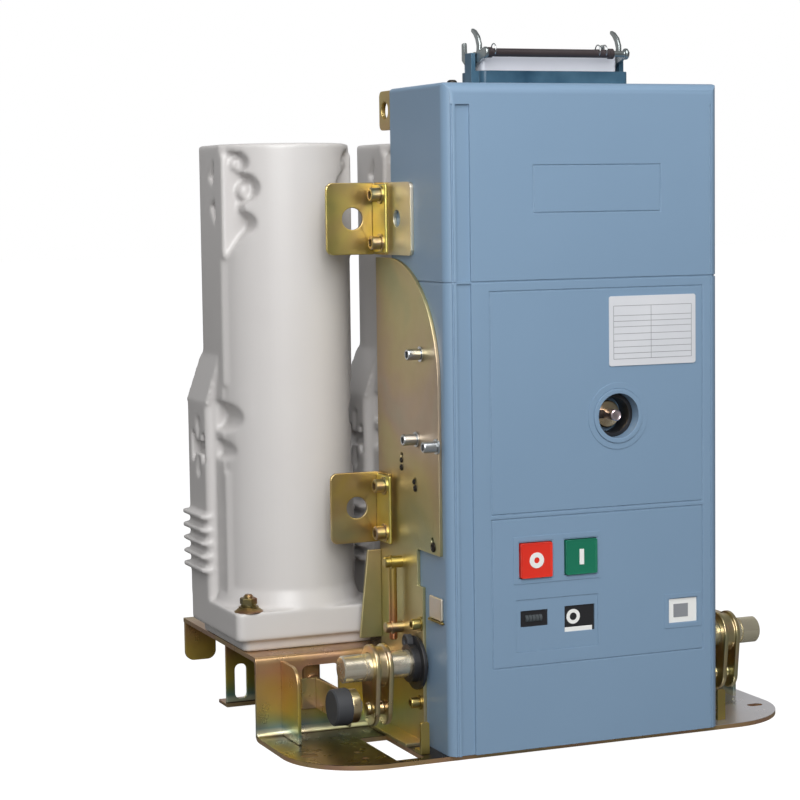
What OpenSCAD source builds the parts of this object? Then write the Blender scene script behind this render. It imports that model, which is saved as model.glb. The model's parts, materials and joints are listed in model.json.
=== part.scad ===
// Indoor vacuum circuit breaker with a front drive housing and three moulded poles.
// Millimetres. X runs across the front, Y runs back from the front cover, Z is up.
// Inside the modules X = 0 is the middle of the housing, Y = 0 its front face and
// Z = 0 the floor. placed() then moves the origin to the middle of the footprint.

/* [Base frame] */
// Thickness of the bent base sheet
base_t = 4; // [3:0.5:6]
// Width of the base frame
base_w = 446; // [430:1:480]
// How far the base frame's middle lies left of the housing's middle
base_shift = 15; // [5:1:20]
// Depth of the front flange that the housing stands on
flange_d = 136; // [126:1:160]
// Radius of the front flange's two rounded corners
flange_r = 65; // [20:1:80]
// Height of the upper face of the rear shelf above the floor
shelf_z = 70; // [66:1:90]
// Depth of the rear shelf behind the web
shelf_d = 198; // [180:1:240]
// Distance between the two fixing slots in the front flange
slot_pitch = 410; // [390:1:416]
// Length of a fixing slot
slot_len = 14; // [11:0.5:20]
// Width of a fixing slot
slot_w = 9; // [7:0.5:11]

/* [Drive housing] */
// Width of the front cover
hood_w = 243; // [220:1:260]
// Depth of the front cover
hood_d = 110; // [100:1:116]
// Height of the front cover
hood_h = 529; // [500:1:600]
// Height of the joint between the lower and upper covers, above the base sheet
split_h = 375; // [365:1:395]
// Width of the joint line between the covers
split_gap = 1.2; // [0.4:0.2:3]
// Radius of the cover's front edges
hood_edge_r = 9; // [3:1:14]
// Radius of the cover's two upper side edges
top_edge_r = 3.5; // [1:0.5:8]
// Thickness of the steel rear panel
back_t = 2; // [1:0.5:4]

/* [Poles] */
// Distance from one pole's middle to the next
pole_pitch = 145; // [145:1:160]
// How far the middle pole lies left of the housing's middle
pole_shift = 36; // [30:1:40]
// Height of a pole above the underside of its foot
pole_h = 411; // [400:1:450]
// Radius of the pole's round front
pole_r = 57; // [50:1:60]
// Width of the pole's flat-sided upper rear part
pole_w = 116; // [110:1:118]
// Width of the pole's lower rear part and its foot
foot_w = 132; // [124:1:132]
// Depth of the pole's foot
foot_d = 130; // [124:1:140]
// Thickness of the pole's foot
foot_t = 24; // [16:1:30]
// Height of the plinth between the shelf and the foot
plinth_h = 10; // [6:1:16]
// Gap between the web's rear face and the front of the poles' feet
foot_gap = 14; // [8:1:20]
// How far each creepage rib stands out
rib_out = 5.5; // [3:0.5:6]
// Number of creepage ribs
rib_n = 5; // [3:1:6]
// Distance from the lower terminal to the upper one
term_pitch = 210; // [200:1:214]
// Radius of a terminal's contact pad
term_r = 24; // [18:1:26]
// Radius of the tapped hole in a terminal
term_hole_r = 5.1; // [4:0.1:8]
// Depth of the tapped hole in a terminal
term_hole_l = 22; // [15:1:26]

/* [Switching shaft] */
// Radius of the shaft
shaft_r = 11; // [9:0.5:13]
// Length of the shaft
shaft_l = 382; // [376:1:392]
// Distance of the shaft behind the front face
shaft_y = 60; // [54:1:66]
// Height of the shaft's axis above the base sheet
shaft_h = 66; // [62:1:72]
// Radial running clearance of the shaft in its bearings
shaft_gap = 0.05; // [0.02:0.01:0.1]
// Distance from the shaft's axis to the lever pins
lever_l = 34; // [28:1:36]
// Thickness of one lever plate
lever_t = 4; // [3:0.5:5]

/* [Side steelwork] */
// Thickness of the side plates and brackets
side_t = 3; // [2:0.5:4]
// Height of the side plates' upper end above the base sheet
side_top = 392; // [380:1:395]
// Height of a mounting bracket
bracket_h = 59; // [50:1:60]
// How far a mounting bracket stands out sideways
bracket_out = 46; // [38:1:50]
// Height of the lower bracket's hole above the base sheet
bracket_low_h = 185; // [175:1:200]
// Distance between the lower and upper bracket holes
bracket_pitch = 239; // [236:1:245]
// Radius of a bracket hole
bracket_hole_r = 9; // [5:0.5:10]

/* [Front controls] */
// Width and height of a push button
button_w = 28; // [22:1:32]
// Distance between the two push buttons
button_pitch = 40; // [36:1:46]
// How far a push button can be pressed
button_stroke = 4; // [2:0.5:5]
// Gap around a push button
button_gap = 0.5; // [0.3:0.1:1]
// Radius of the hand crank socket's recess
crank_r = 18; // [15:1:22]
// Radius of the hand crank shaft
crank_shaft_r = 7; // [5:0.5:9]

/* [Top connector] */
// Length of the connector body
conn_l = 120; // [104:1:130]
// Depth of the connector's flange
conn_d = 42; // [38:1:46]
// Height of the connector body above the cover
conn_h = 24; // [22:1:30]
// Distance from the locking lever's pivot forward to its cross bar
lock_reach = 20.5; // [20:0.5:24]
// Radius of the locking lever's pivot pins
lock_pin_r = 3; // [2:0.5:4]
// Radial running clearance of the locking lever on its pins
lock_gap = 0.05; // [0.02:0.01:0.1]

/* [Hidden] */
$fn = 64;
eps = 0.01;

// Base frame
base_x0 = -base_shift - base_w / 2;
base_x1 = -base_shift + base_w / 2;
web_y = flange_d - base_t;
flange_front = 6;
shelf_end = flange_d + shelf_d;
shelf_lip_y = shelf_end - base_t;
slot_y = 57;
opening_x = -163;
opening_y = 13;
opening_w = 24;
opening_l = 80;
leg_y = 264;
leg_w = 31;
leg_inset = 17;
leg_foot = 24;
leg_hole_y = leg_y + 13;
leg_hole_r = 4.5;
ear_w = 29;
ear_drop = 39;
gusset_left_x = -215;
gusset_right_x = 191;
gusset_front = 92;
gusset_r = 14;
window_z0 = 30;
window_z1 = 60;
front_ear_w = 7.5;
front_ear_gap = 10;
front_ear_y = 20;
front_ear_h = 26;
front_ear_foot = 14;

// Housing
hood_z0 = base_t;
hood_x = hood_w / 2;
split_z = hood_z0 + split_h;
hood_top = hood_z0 + hood_h;
back_y = hood_d + back_t;
band_x = -hood_x + 9.5;
band_w = 12;
band_d = 2.2;
band_top = 17;
trim_d = 1.2;
line_w = 1;
line_d = 0.8;

// Side steelwork
side_x = hood_x + side_t;
side_front = 12;
side_rear = 138;
side_low_front = 48;
side_step_h = 145;
side_arc_r = 98;
foot_flange_w = 16;
bracket_y = 130;
bracket_lap = 20;
pad_front = 62;
pad_hole_y = 91;
pad_hole_r = 7;
lug_z = base_t + 512;
lug_hole_r = 7;

// Poles
foot_y = flange_d + foot_gap;
foot_z = shelf_z + plinth_h;
tube_y = pole_r + 5;
flat_y = tube_y - 20;
upper_back = tube_y + 50;
lower_front = 75;
lower_back = foot_d + 1;
lower_top = 193;
flare_top = 234;
shoulder_low = 317;
shoulder_high = 402;
boss_x = 41;
boss_r = 13;
low_boss_z = 196;
pocket_y = 81;
pocket_z = 154;
pocket_d = 8;
rib_t = 4;
rib_pitch = 11.5;
rib_low = 47;
term_low = 160;
term_high = term_low + term_pitch;
recess_r = term_r + 5;
recess_d = 14;
pad_out = 5;
drive_bore = 36;

// Shaft
shaft_z = base_t + shaft_h;
lever_left_x = -167;
lever_right_x = 152;
lever_gap = 7;
hub_r = shaft_r + 7;
lever_tip_r = 14;
pin_r = 5;
bearing_r = 22;
bearing_t = 9;
stop_r = 15;
stop_y = 56;
stop_z = base_t + 37;
stop_x0 = -201;
stop_l = 14;
stop_arm_h = 26;
stop_arm_z = stop_z - 4;
stop_cup_r = 13.5;
rod_r = 3;
rod_x = -side_x - 9;
rod_y = 92;
rod_low = base_t + 90;
rod_high = base_t + 144;

// Front controls
crank_x = 28;
crank_z = hood_z0 + 264;
crank_depth = 26;
collar_out = 1.5;
panel_x0 = -85;
panel_x1 = 106;
panel_z0 = hood_z0 + 67;
panel_z1 = hood_z0 + 187;
button_x = -26.5;
button_z = hood_z0 + 152.5;
button_proud = 2.5;
button_depth = 12;
bezel_x0 = -64;
bezel_x1 = 9;
bezel_z0 = hood_z0 + 79;
bezel_z1 = hood_z0 + 121;
bezel_t = 3;
counter_x0 = -60;
counter_x1 = -36;
counter_z0 = hood_z0 + 99;
counter_z1 = hood_z0 + 112;
flag_x0 = -21;
flag_x1 = 6;
flag_z0 = hood_z0 + 92;
flag_z1 = hood_z0 + 113;
spring_x0 = 74;
spring_x1 = 100;
spring_z0 = hood_z0 + 91;
spring_z1 = hood_z0 + 111;
label_x0 = 20;
label_x1 = 99;
label_z0 = hood_z0 + 304;
label_z1 = hood_z0 + 360;
badge_x0 = -46;
badge_x1 = 68;
badge_z0 = hood_z0 + 427;
badge_z1 = hood_z0 + 465;

// Top connector
conn_x = -12;
conn_y = 55;
conn_flange_left = 1;
conn_flange_right = 9;
conn_flange_h = 11;
conn_wall = 3;
post_t = 4;
lock_y = 46;
lock_z = hood_top + 20;
lock_t = 3;
lock_side_gap = 0.5;
lock_bar_r = 2.5;
lock_bar_rise = 4.5;
lock_hub_r = 6;
lock_span = lock_t + 2 * lock_side_gap;

// Footprint, used to put the origin in its middle
pole_left_x = -pole_shift - pole_pitch;
x_min = pole_left_x - foot_w / 2 - rib_out;
x_max = base_x1;
y_min = -button_proud;
y_max = shelf_end;

module placed() {
    translate([-(x_min + x_max) / 2, -(y_min + y_max) / 2, 0]) children();
}

// Plates: a flat outline given thickness along one axis
module plate_xy(z, t) {
    translate([0, 0, z]) linear_extrude(t) children();
}
module plate_xz(y, t) {
    translate([0, y + t, 0]) rotate([90, 0, 0]) linear_extrude(t) children();
}
module plate_yz(x, t) {
    translate([x, 0, 0]) rotate([90, 0, 90]) linear_extrude(t) children();
}
module box(x0, x1, y0, y1, z0, z1) {
    translate([x0, y0, z0]) cube([x1 - x0, y1 - y0, z1 - z0]);
}
// Rectangle from corner to corner with rounded corners
module round_rect(x0, x1, y0, y1, r) {
    translate([x0 + r, y0]) square([x1 - x0 - 2 * r, y1 - y0]);
    translate([x0, y0 + r]) square([x1 - x0, y1 - y0 - 2 * r]);
    for (x = [x0 + r, x1 - r], y = [y0 + r, y1 - r]) translate([x, y]) circle(r);
}
// Slot with round ends, lying along the first axis
module slot2d(x, y, len, w) {
    translate([x - (len - w) / 2, y - w / 2]) square([len - w, w]);
    for (s = [-1, 1]) translate([x + s * (len - w) / 2, y]) circle(w / 2);
}
module rod_x_axis(x, y, z, r, len) {
    translate([x, y, z]) rotate([0, 90, 0]) cylinder(r = r, h = len);
}
module rod_y_axis(x, y, z, r, len) {
    translate([x, y + len, z]) rotate([90, 0, 0]) cylinder(r = r, h = len);
}
// Left-hand steelwork and the same thing mirrored for the right
module on_side(s) {
    if (s < 0) children();
    else mirror([1, 0, 0]) children();
}

// ---- base frame ----
module flange_outline() {
    corner_y = flange_front + flange_r;
    translate([base_x0, corner_y]) square([base_w, flange_d - corner_y]);
    translate([base_x0 + flange_r, flange_front]) square([base_w - 2 * flange_r, flange_d - flange_front]);
    for (x = [base_x0 + flange_r, base_x1 - flange_r]) translate([x, corner_y]) circle(flange_r);
}

module base_frame() {
    color("darkkhaki") placed() {
        plate_xy(0, base_t) difference() {
            flange_outline();
            translate([opening_x, opening_y]) square([opening_w, opening_l]);
            for (s = [-1, 1]) slot2d(-base_shift + s * slot_pitch / 2, slot_y, slot_len, slot_w);
            for (p = [[-181, 51], [-182, 31]]) translate(p) circle(3);
        }
        plate_xz(web_y, base_t) difference() {
            translate([base_x0, 0]) square([base_w, shelf_z]);
            for (i = [0:2]) round_rect(pole_left_x + i * pole_pitch - 17, pole_left_x + i * pole_pitch + 16,
                window_z0, window_z1, 5);
        }
        plate_xy(shelf_z - base_t, base_t) difference() {
            translate([base_x0, web_y]) square([base_w, shelf_end - web_y]);
            for (i = [0:2]) translate([pole_left_x + i * pole_pitch, foot_y + tube_y]) circle(drive_bore);
        }
        plate_xz(shelf_lip_y, base_t)
            for (x = [base_x0, base_x1 - ear_w]) round_rect(x, x + ear_w, shelf_z - ear_drop, shelf_z, 8);
    }
}

// Upright gusset in front of the web at each end
module front_gussets() {
    color("khaki") placed() for (x = [gusset_left_x, gusset_right_x])
        plate_yz(x - side_t / 2, side_t) {
            translate([gusset_front, base_t]) square([web_y - gusset_front, shelf_z - 2 * base_t - gusset_r]);
            translate([gusset_front + gusset_r, base_t])
                square([web_y - gusset_front - gusset_r, shelf_z - 2 * base_t]);
            translate([gusset_front + gusset_r, shelf_z - base_t - gusset_r]) circle(gusset_r);
        }
}

// Small angles that stand beside the housing near its front lower corners
module front_ears() {
    color("khaki") placed() for (s = [-1, 1]) {
        x = s < 0 ? -hood_x - front_ear_gap - front_ear_w : hood_x + front_ear_gap;
        plate_xz(front_ear_y, side_t) round_rect(x, x + front_ear_w, base_t, base_t + front_ear_h, 2);
        plate_xy(base_t, side_t) translate([x, front_ear_y]) square([front_ear_w, front_ear_foot]);
    }
}

module frame_rib(i) {
    color("khaki") placed() {
        x = pole_left_x + (i + 0.5) * pole_pitch;
        plate_yz(x - side_t / 2, side_t)
            polygon([[flange_d, base_t], [flange_d + 70, base_t + 10], [shelf_lip_y - 30, shelf_z - base_t - 12],
                [shelf_lip_y - 30, shelf_z - base_t], [flange_d, shelf_z - base_t]]);
    }
}

module rear_leg(s) {
    x0 = s < 0 ? base_x0 + leg_inset : base_x1 - leg_inset - leg_w;
    color("khaki") placed() {
        plate_xz(leg_y, side_t) difference() {
            translate([x0, 0]) square([leg_w, shelf_z - base_t]);
            round_rect(x0 + 8, x0 + 19, 7, 38, 5);
        }
        plate_xy(0, side_t) difference() {
            round_rect(x0, x0 + leg_w, leg_y, leg_y + leg_foot, 1.5);
            translate([x0 + leg_w / 2, leg_hole_y]) circle(leg_hole_r);
        }
    }
}

// ---- side steelwork ----
module side_outline() {
    arc_z = base_t + side_top - side_arc_r;
    difference() {
        union() {
            translate([side_front + side_arc_r, arc_z]) circle(side_arc_r);
            translate([side_front, base_t + side_step_h]) square([side_rear - side_front, side_top - side_arc_r - side_step_h]);
            translate([side_front + side_arc_r, arc_z]) square([side_rear - side_front - side_arc_r, side_arc_r]);
            translate([side_low_front, shelf_z]) square([side_rear - side_low_front, side_step_h + base_t - shelf_z]);
            translate([side_low_front, base_t]) square([web_y - side_low_front, shelf_z - base_t]);
        }
        translate([side_rear, arc_z - side_arc_r]) square([side_arc_r * 2, side_arc_r * 2]);
    }
}

module side_plate(s) {
    color("darkkhaki") placed() on_side(s) {
        plate_yz(-side_x, side_t) difference() {
            side_outline();
            translate([shaft_y, shaft_z]) circle(shaft_r + 2);
            for (p = [[87, 232], [60, 214], [26, 170]]) translate([p[0], base_t + p[1]]) circle(2.5);
        }
        plate_xy(base_t, side_t)
            round_rect(-side_x - foot_flange_w, -side_x + eps, side_low_front, web_y, 0.5);
    }
}

module pad_plate(s) {
    z = base_t + bracket_low_h + bracket_pitch;
    color("darkkhaki") placed() on_side(s)
        plate_yz(-side_x, side_t) difference() {
            round_rect(pad_front, bracket_y + side_t, z - bracket_h / 2, z + bracket_h / 2, 5);
            translate([pad_hole_y, z]) circle(pad_hole_r);
        }
}

// Angle bracket: a narrow leg on the side and a wide leg facing forward
module bracket(s, z) {
    color("goldenrod") placed() on_side(s) {
        x1 = -side_x;
        plate_xz(bracket_y, side_t) difference() {
            round_rect(x1 - bracket_out, x1, z - bracket_h / 2, z + bracket_h / 2, 6);
            translate([x1 - bracket_out / 2, z]) circle(bracket_hole_r);
        }
        plate_xz(bracket_y, side_t)
            translate([x1 - side_t, z - bracket_h / 2]) square([side_t, bracket_h]);
        plate_yz(x1 - side_t, side_t)
            translate([bracket_y - bracket_lap, z - bracket_h / 2]) square([bracket_lap + side_t, bracket_h]);
    }
}
module upper_bracket(s) {
    bracket(s, base_t + bracket_low_h + bracket_pitch);
}
module lower_bracket(s) {
    bracket(s, base_t + bracket_low_h);
}

// ---- drive housing ----
// Plan of the cover with its rounded front edges
module hood_plan() {
    translate([-hood_x, hood_edge_r]) square([hood_w, hood_d - hood_edge_r]);
    translate([-hood_x + hood_edge_r, 0]) square([hood_w - 2 * hood_edge_r, hood_d]);
    for (s = [-1, 1]) translate([s * (hood_x - hood_edge_r), hood_edge_r]) circle(hood_edge_r);
}
// Upright lines sunk in the front: a groove and a wide band on the left, a fine line on the right
module hood_grooves() {
    translate([band_x - 4, -1]) square([1.5, 1 + trim_d]);
    translate([band_x, -1]) square([band_w, 1 + band_d]);
    translate([hood_x - 8.5, -1]) square([line_w, 1 + trim_d]);
}
module sunk_frame(x0, x1, z0, z1) {
    plate_xz(-1, 1 + line_d) difference() {
        translate([x0, z0]) square([x1 - x0, z1 - z0]);
        translate([x0 + line_w, z0 + line_w]) square([x1 - x0 - 2 * line_w, z1 - z0 - 2 * line_w]);
    }
}
function button_cx(i) = button_x + (i - 0.5) * button_pitch;

module lower_cover() {
    color("lightslategray") placed() difference() {
        union() {
            plate_xy(hood_z0, split_h - split_gap) hood_plan();
            rod_y_axis(crank_x, -collar_out, crank_z, crank_r + 4, collar_out + 1);
        }
        plate_xy(hood_z0 - 1, split_h + 1) hood_grooves();
        sunk_frame(panel_x0, panel_x1, panel_z0, panel_z1);
        sunk_frame(panel_x0, panel_x1, panel_z1 + 3, split_z - 8);
        for (i = [0, 1]) {
            w = button_w / 2 + button_gap;
            box(button_cx(i) - w, button_cx(i) + w, -1, button_depth + button_stroke + 1, button_z - w, button_z + w);
        }
        box(bezel_x0, bezel_x1, -1, bezel_t, bezel_z0, bezel_z1);
        box(spring_x0, spring_x1, -1, bezel_t, spring_z0, spring_z1);
        rod_y_axis(crank_x, -collar_out - 1, crank_z, crank_r, crank_depth + collar_out + 1);
        rod_x_axis(-hood_x - 1, shaft_y, shaft_z, shaft_r + 4, hood_w + 2);
    }
}

module upper_cover() {
    rise = hood_h - split_h;
    color("lightsteelblue") placed() difference() {
        intersection() {
            plate_xy(split_z, rise) hood_plan();
            plate_yz(-hood_x - 1, hood_w + 2) {
                translate([0, split_z - 1]) square([hood_d + 1, rise + 1 - hood_edge_r]);
                translate([hood_edge_r, split_z - 1]) square([hood_d + 1 - hood_edge_r, rise + 1]);
                translate([hood_edge_r, hood_top - hood_edge_r]) circle(hood_edge_r);
            }
            plate_xz(-1, hood_d + 2) {
                translate([-hood_x, split_z - 1]) square([hood_w, rise + 1 - top_edge_r]);
                translate([-hood_x + top_edge_r, split_z - 1]) square([hood_w - 2 * top_edge_r, rise + 1]);
                for (s = [-1, 1]) translate([s * (hood_x - top_edge_r), hood_top - top_edge_r])
                    circle(top_edge_r);
            }
        }
        plate_xy(split_z - 1, rise + 1 - band_top) hood_grooves();
        sunk_frame(badge_x0, badge_x1, badge_z0, badge_z1);
    }
}

module rear_panel() {
    color("darkkhaki") placed() box(-hood_x + 2, hood_x - 2, hood_d, back_y, hood_z0, hood_top - 4);
}

module lifting_lugs() {
    color("saddlebrown") placed() for (s = [-1, 1]) {
        x = s < 0 ? -hood_x + 2 : hood_x - 2 - base_t;
        plate_yz(x, base_t) difference() {
            round_rect(back_y, side_rear, lug_z - 16, lug_z + 16, 5);
            translate([back_y + 14, lug_z]) circle(lug_hole_r);
        }
    }
}

module data_plate() {
    color("white") placed() plate_xz(-0.8, 0.8) round_rect(label_x0, label_x1, label_z0, label_z1, 2);
}

module crank_shaft() {
    color("goldenrod") placed() {
        rod_y_axis(crank_x, 7, crank_z, crank_shaft_r, crank_depth - 7);
        rod_y_axis(crank_x, 18, crank_z, crank_shaft_r + 4, crank_depth - 18);
    }
}

module push_button(i) {
    w = button_w / 2;
    color(i == 0 ? "crimson" : "seagreen") placed()
        plate_xz(-button_proud, button_proud + button_depth)
            round_rect(button_cx(i) - w, button_cx(i) + w, button_z - w, button_z + w, 1.5);
}

module indicator_bezel() {
    color("steelblue") placed() plate_xz(0.6, bezel_t - 0.6) difference() {
        translate([bezel_x0, bezel_z0]) square([bezel_x1 - bezel_x0, bezel_z1 - bezel_z0]);
        translate([counter_x0, counter_z0]) square([counter_x1 - counter_x0, counter_z1 - counter_z0]);
        translate([flag_x0, flag_z0]) square([flag_x1 - flag_x0, flag_z1 - flag_z0]);
    }
}
module cycle_counter() {
    color("black") placed() box(counter_x0, counter_x1, 1.6, bezel_t, counter_z0, counter_z1);
}
module position_flag() {
    color("black") placed() box(flag_x0, flag_x1, 1.6, bezel_t, flag_z0, flag_z1);
}
module spring_flag() {
    color("whitesmoke") placed() box(spring_x0, spring_x1, 0.8, bezel_t, spring_z0, spring_z1);
}

// ---- top connector ----
// Flange with a post at each end that carries a pivot pin of the locking lever
module connector_base() {
    color("cadetblue") placed() {
        plate_xy(hood_top, conn_flange_h) round_rect(conn_x - conn_l / 2 - conn_flange_left,
            conn_x + conn_l / 2 + conn_flange_right, conn_y - conn_d / 2, conn_y + conn_d / 2, 4);
        for (s = [-1, 1]) {
            pin_x = s < 0 ? conn_x - conn_l / 2 - lock_span : conn_x + conn_l / 2;
            post_x = s < 0 ? pin_x - post_t : pin_x + lock_span;
            tab_x = s < 0 ? post_x : pin_x;
            box(post_x, post_x + post_t, lock_y - lock_hub_r, lock_y + lock_hub_r, hood_top, lock_z + 5);
            box(tab_x, tab_x + post_t + lock_span, lock_y - lock_hub_r, lock_y + lock_hub_r,
                hood_top, hood_top + conn_flange_h);
            rod_x_axis(s < 0 ? pin_x - 1 : pin_x, lock_y, lock_z, lock_pin_r, lock_span + 1);
        }
    }
}
module connector_body() {
    color("silver") placed() plate_xy(hood_top + conn_flange_h, conn_h - conn_flange_h) difference() {
        round_rect(conn_x - conn_l / 2, conn_x + conn_l / 2, conn_y - conn_d / 2 + conn_wall,
            conn_y + conn_d / 2 - conn_wall, 3);
        translate([conn_x - conn_l / 2 + conn_wall, conn_y - conn_d / 2 + 2 * conn_wall])
            square([conn_l - 2 * conn_wall, conn_d - 4 * conn_wall]);
    }
}
module connector_insert() {
    color("black") placed() {
        plate_xy(hood_top + conn_flange_h, conn_h - conn_flange_h + 2)
            round_rect(conn_x - conn_l / 2 + conn_wall, conn_x + conn_l / 2 - conn_wall,
                conn_y - conn_d / 2 + 2 * conn_wall, conn_y + conn_d / 2 - 2 * conn_wall, 0.5);
        for (s = [-1, 1]) translate([conn_x + s * (conn_l / 2 - 9), conn_y, hood_top + conn_flange_h])
            cylinder(r = 2.5, h = conn_h - conn_flange_h + 6);
    }
}
// One arm of the locking lever, drawn about its pivot: a front bar, a tall horn and a rear prong
module lock_arm_outline() {
    circle(lock_hub_r);
    translate([-lock_reach, lock_bar_rise]) circle(lock_bar_r + 2);
    polygon([[-lock_reach, lock_bar_rise + 3], [-lock_reach, lock_bar_rise - 3], [0, -5], [0, 5]]);
    polygon([[-12, 2], [-11.5, 12], [-8, 18.5], [-2, 23], [3.5, 25], [4.5, 22.5], [0, 19.5], [-4, 15],
        [-6, 10], [-5, 2]]);
    polygon([[0, -5], [18, -3], [22.5, 0], [22.5, 14], [18, 14.5], [17, 4], [0, 5]]);
}
module lock_lever() {
    color("silver") placed() {
        for (s = [-1, 1]) {
            x = s < 0 ? conn_x - conn_l / 2 - lock_side_gap - lock_t : conn_x + conn_l / 2 + lock_side_gap;
            plate_yz(x, lock_t) translate([lock_y, lock_z]) difference() {
                lock_arm_outline();
                circle(lock_pin_r + lock_gap);
            }
        }
        rod_x_axis(conn_x - conn_l / 2 - lock_side_gap - eps, lock_y - lock_reach, lock_z + lock_bar_rise,
            lock_bar_r, conn_l + 2 * lock_side_gap + 2 * eps);
    }
}

// ---- poles ----
module pole_upper_plan() {
    translate([0, tube_y]) circle(pole_r);
    r = 10;
    translate([-pole_w / 2, tube_y - 12]) square([pole_w, upper_back - r - tube_y + 12]);
    translate([-pole_w / 2 + r, tube_y]) square([pole_w - 2 * r, upper_back - tube_y]);
    for (s = [-1, 1]) translate([s * (pole_w / 2 - r), upper_back - r]) circle(r);
    polygon([[-pole_w / 2, tube_y - 12], [-pole_w / 2 + 5, flat_y], [pole_w / 2 - 5, flat_y],
        [pole_w / 2, tube_y - 12]]);
}
// Solid of revolution for the round front, with a skirt at the foot and a rounded rim
module pole_tube() {
    skirt = 5;
    rim = 5;
    translate([0, tube_y, 0]) rotate_extrude($fn = 96) {
        square([pole_r, pole_h - rim]);
        square([pole_r - rim, pole_h]);
        translate([pole_r - rim, pole_h - rim]) circle(rim);
        polygon([[0, foot_t], [pole_r + skirt, foot_t], [pole_r, foot_t + 3 * skirt], [0, foot_t + 3 * skirt]]);
    }
}
module teardrop(y, z, r, up) {
    translate([y, z]) circle(r);
    translate([y, z]) polygon([[-r * 0.8, up * r * 0.6], [r * 0.8, up * r * 0.6], [0, up * r * 2.4]]);
}
module pole_solid() {
    difference() {
        union() {
            plate_xy(-plinth_h, plinth_h) round_rect(-pole_w / 2, pole_w / 2, 8, foot_d - 8, 6);
            plate_xy(0, foot_t) round_rect(-foot_w / 2, foot_w / 2, 0, foot_d, 6);
            pole_tube();
            plate_xy(foot_t, pole_h - foot_t) pole_upper_plan();
            plate_xy(foot_t, lower_top - foot_t)
                round_rect(-foot_w / 2, foot_w / 2, lower_front, lower_back, 6);
            hull() {
                plate_xy(lower_top - 1, 1) translate([-foot_w / 2, lower_front]) square([foot_w, lower_back - lower_front]);
                plate_xy(flare_top - 1, 1) translate([-pole_w / 2, flat_y + 20])
                    square([pole_w, upper_back - flat_y - 20]);
            }
            for (i = [0:rib_n - 1]) plate_xy(rib_low + i * rib_pitch, rib_t)
                round_rect(-foot_w / 2 - rib_out, foot_w / 2 + rib_out, lower_front, lower_back + rib_out, 8);
            for (s = [-1, 1]) {
                plate_xz(28, tube_y - 28) polygon([[s * pole_w / 2, shoulder_low], [s * pole_w / 2, shoulder_high],
                    [s * 30, shoulder_high], [s * (pole_w / 2 - 8), shoulder_low]]);
                for (z = [shoulder_high - boss_r, shoulder_low + 30, low_boss_z])
                    rod_y_axis(s * boss_x, 23, z, boss_r, 30);
                rod_y_axis(s * (boss_x + 4), 36, low_boss_z - 26, boss_r - 3, 30);
            }
        }
        for (z = [term_low, term_high]) rod_y_axis(0, (z == term_low ? lower_back : upper_back) - recess_d,
            z, recess_r, recess_d + 10);
        for (s = [-1, 1]) {
            plate_yz(s < 0 ? -pole_w / 2 - 1 : pole_w / 2 - 6, 7) {
                teardrop(tube_y + 4, shoulder_high - 20, 5.5, 1);
                teardrop(tube_y + 4, shoulder_low + 50, 5.5, -1);
            }
            plate_yz(s < 0 ? -foot_w / 2 - 1 : foot_w / 2 - pocket_d, 1 + pocket_d) {
                translate([pocket_y, pocket_z - 5]) square([36, 10]);
                for (y = [pocket_y, pocket_y + 28]) translate([y, pocket_z - 12]) square([8, 24]);
            }
            plate_yz(s < 0 ? -foot_w / 2 - 1 : foot_w / 2 - 2, 3)
                for (z = [pocket_z + 20, pocket_z - 20]) teardrop(pocket_y + 18, z, 6, z < pocket_z ? 1 : -1);
        }
    }
}
module pole(i) {
    color("gainsboro") placed() translate([pole_left_x + i * pole_pitch, foot_y, foot_z]) pole_solid();
}
// One contact pad with a tapped hole, facing back
module contact_pad(x, y, z) {
    difference() {
        rod_y_axis(x, y - recess_d, z, term_r, recess_d + pad_out);
        rod_y_axis(x, y + pad_out - min(term_hole_l, recess_d + pad_out - 2), z, term_hole_r, term_hole_l);
    }
}
module upper_terminals() {
    color("peru") placed() for (i = [0:2])
        contact_pad(pole_left_x + i * pole_pitch, foot_y + upper_back, foot_z + term_high);
}
module lower_terminals() {
    color("peru") placed() for (i = [0:2])
        contact_pad(pole_left_x + i * pole_pitch, foot_y + lower_back, foot_z + term_low);
}
// Drive head below each pole, hanging through the shelf
module pole_drives() {
    color("dimgray") placed() for (i = [0:2])
        translate([pole_left_x + i * pole_pitch, foot_y + tube_y, foot_z - plinth_h - 30]) {
            cylinder(r = 16, h = 30);
            translate([0, 0, 12]) cylinder(r = 24, h = 10);
        }
}

// ---- switching shaft ----
module shaft() {
    color("darkkhaki") placed() rod_x_axis(-shaft_l / 2, shaft_y, shaft_z, shaft_r, shaft_l);
}
module lever_plate_outline() {
    circle(hub_r);
    translate([0, -lever_l]) circle(lever_tip_r);
    polygon([[-hub_r, 0], [hub_r, 0], [lever_tip_r, -lever_l], [-lever_tip_r, -lever_l]]);
}
module lever(x) {
    color("palegoldenrod") placed() difference() {
        union() {
            for (dx = [0, lever_t + lever_gap])
                plate_yz(x + dx, lever_t) translate([shaft_y, shaft_z]) lever_plate_outline();
            rod_x_axis(x, shaft_y, shaft_z, hub_r - 2, 2 * lever_t + lever_gap);
            rod_x_axis(x - 3, shaft_y, shaft_z - lever_l, pin_r, 2 * lever_t + lever_gap + 6);
        }
        rod_x_axis(x - 1, shaft_y, shaft_z, shaft_r, 2 * lever_t + lever_gap + 2);
    }
}
module bearing(s) {
    color("black") placed() on_side(s) difference() {
        union() {
            rod_x_axis(-side_x - bearing_t, shaft_y, shaft_z, bearing_r, bearing_t);
            rod_x_axis(-side_x, shaft_y, shaft_z, shaft_r + 1.7, side_t);
        }
        rod_x_axis(-side_x - bearing_t - 1, shaft_y, shaft_z, shaft_r + shaft_gap, bearing_t + side_t + 2);
    }
}
module rubber_stop() {
    color("black") placed() {
        rod_x_axis(stop_x0, stop_y, stop_z, stop_r, stop_l);
    }
}
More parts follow.
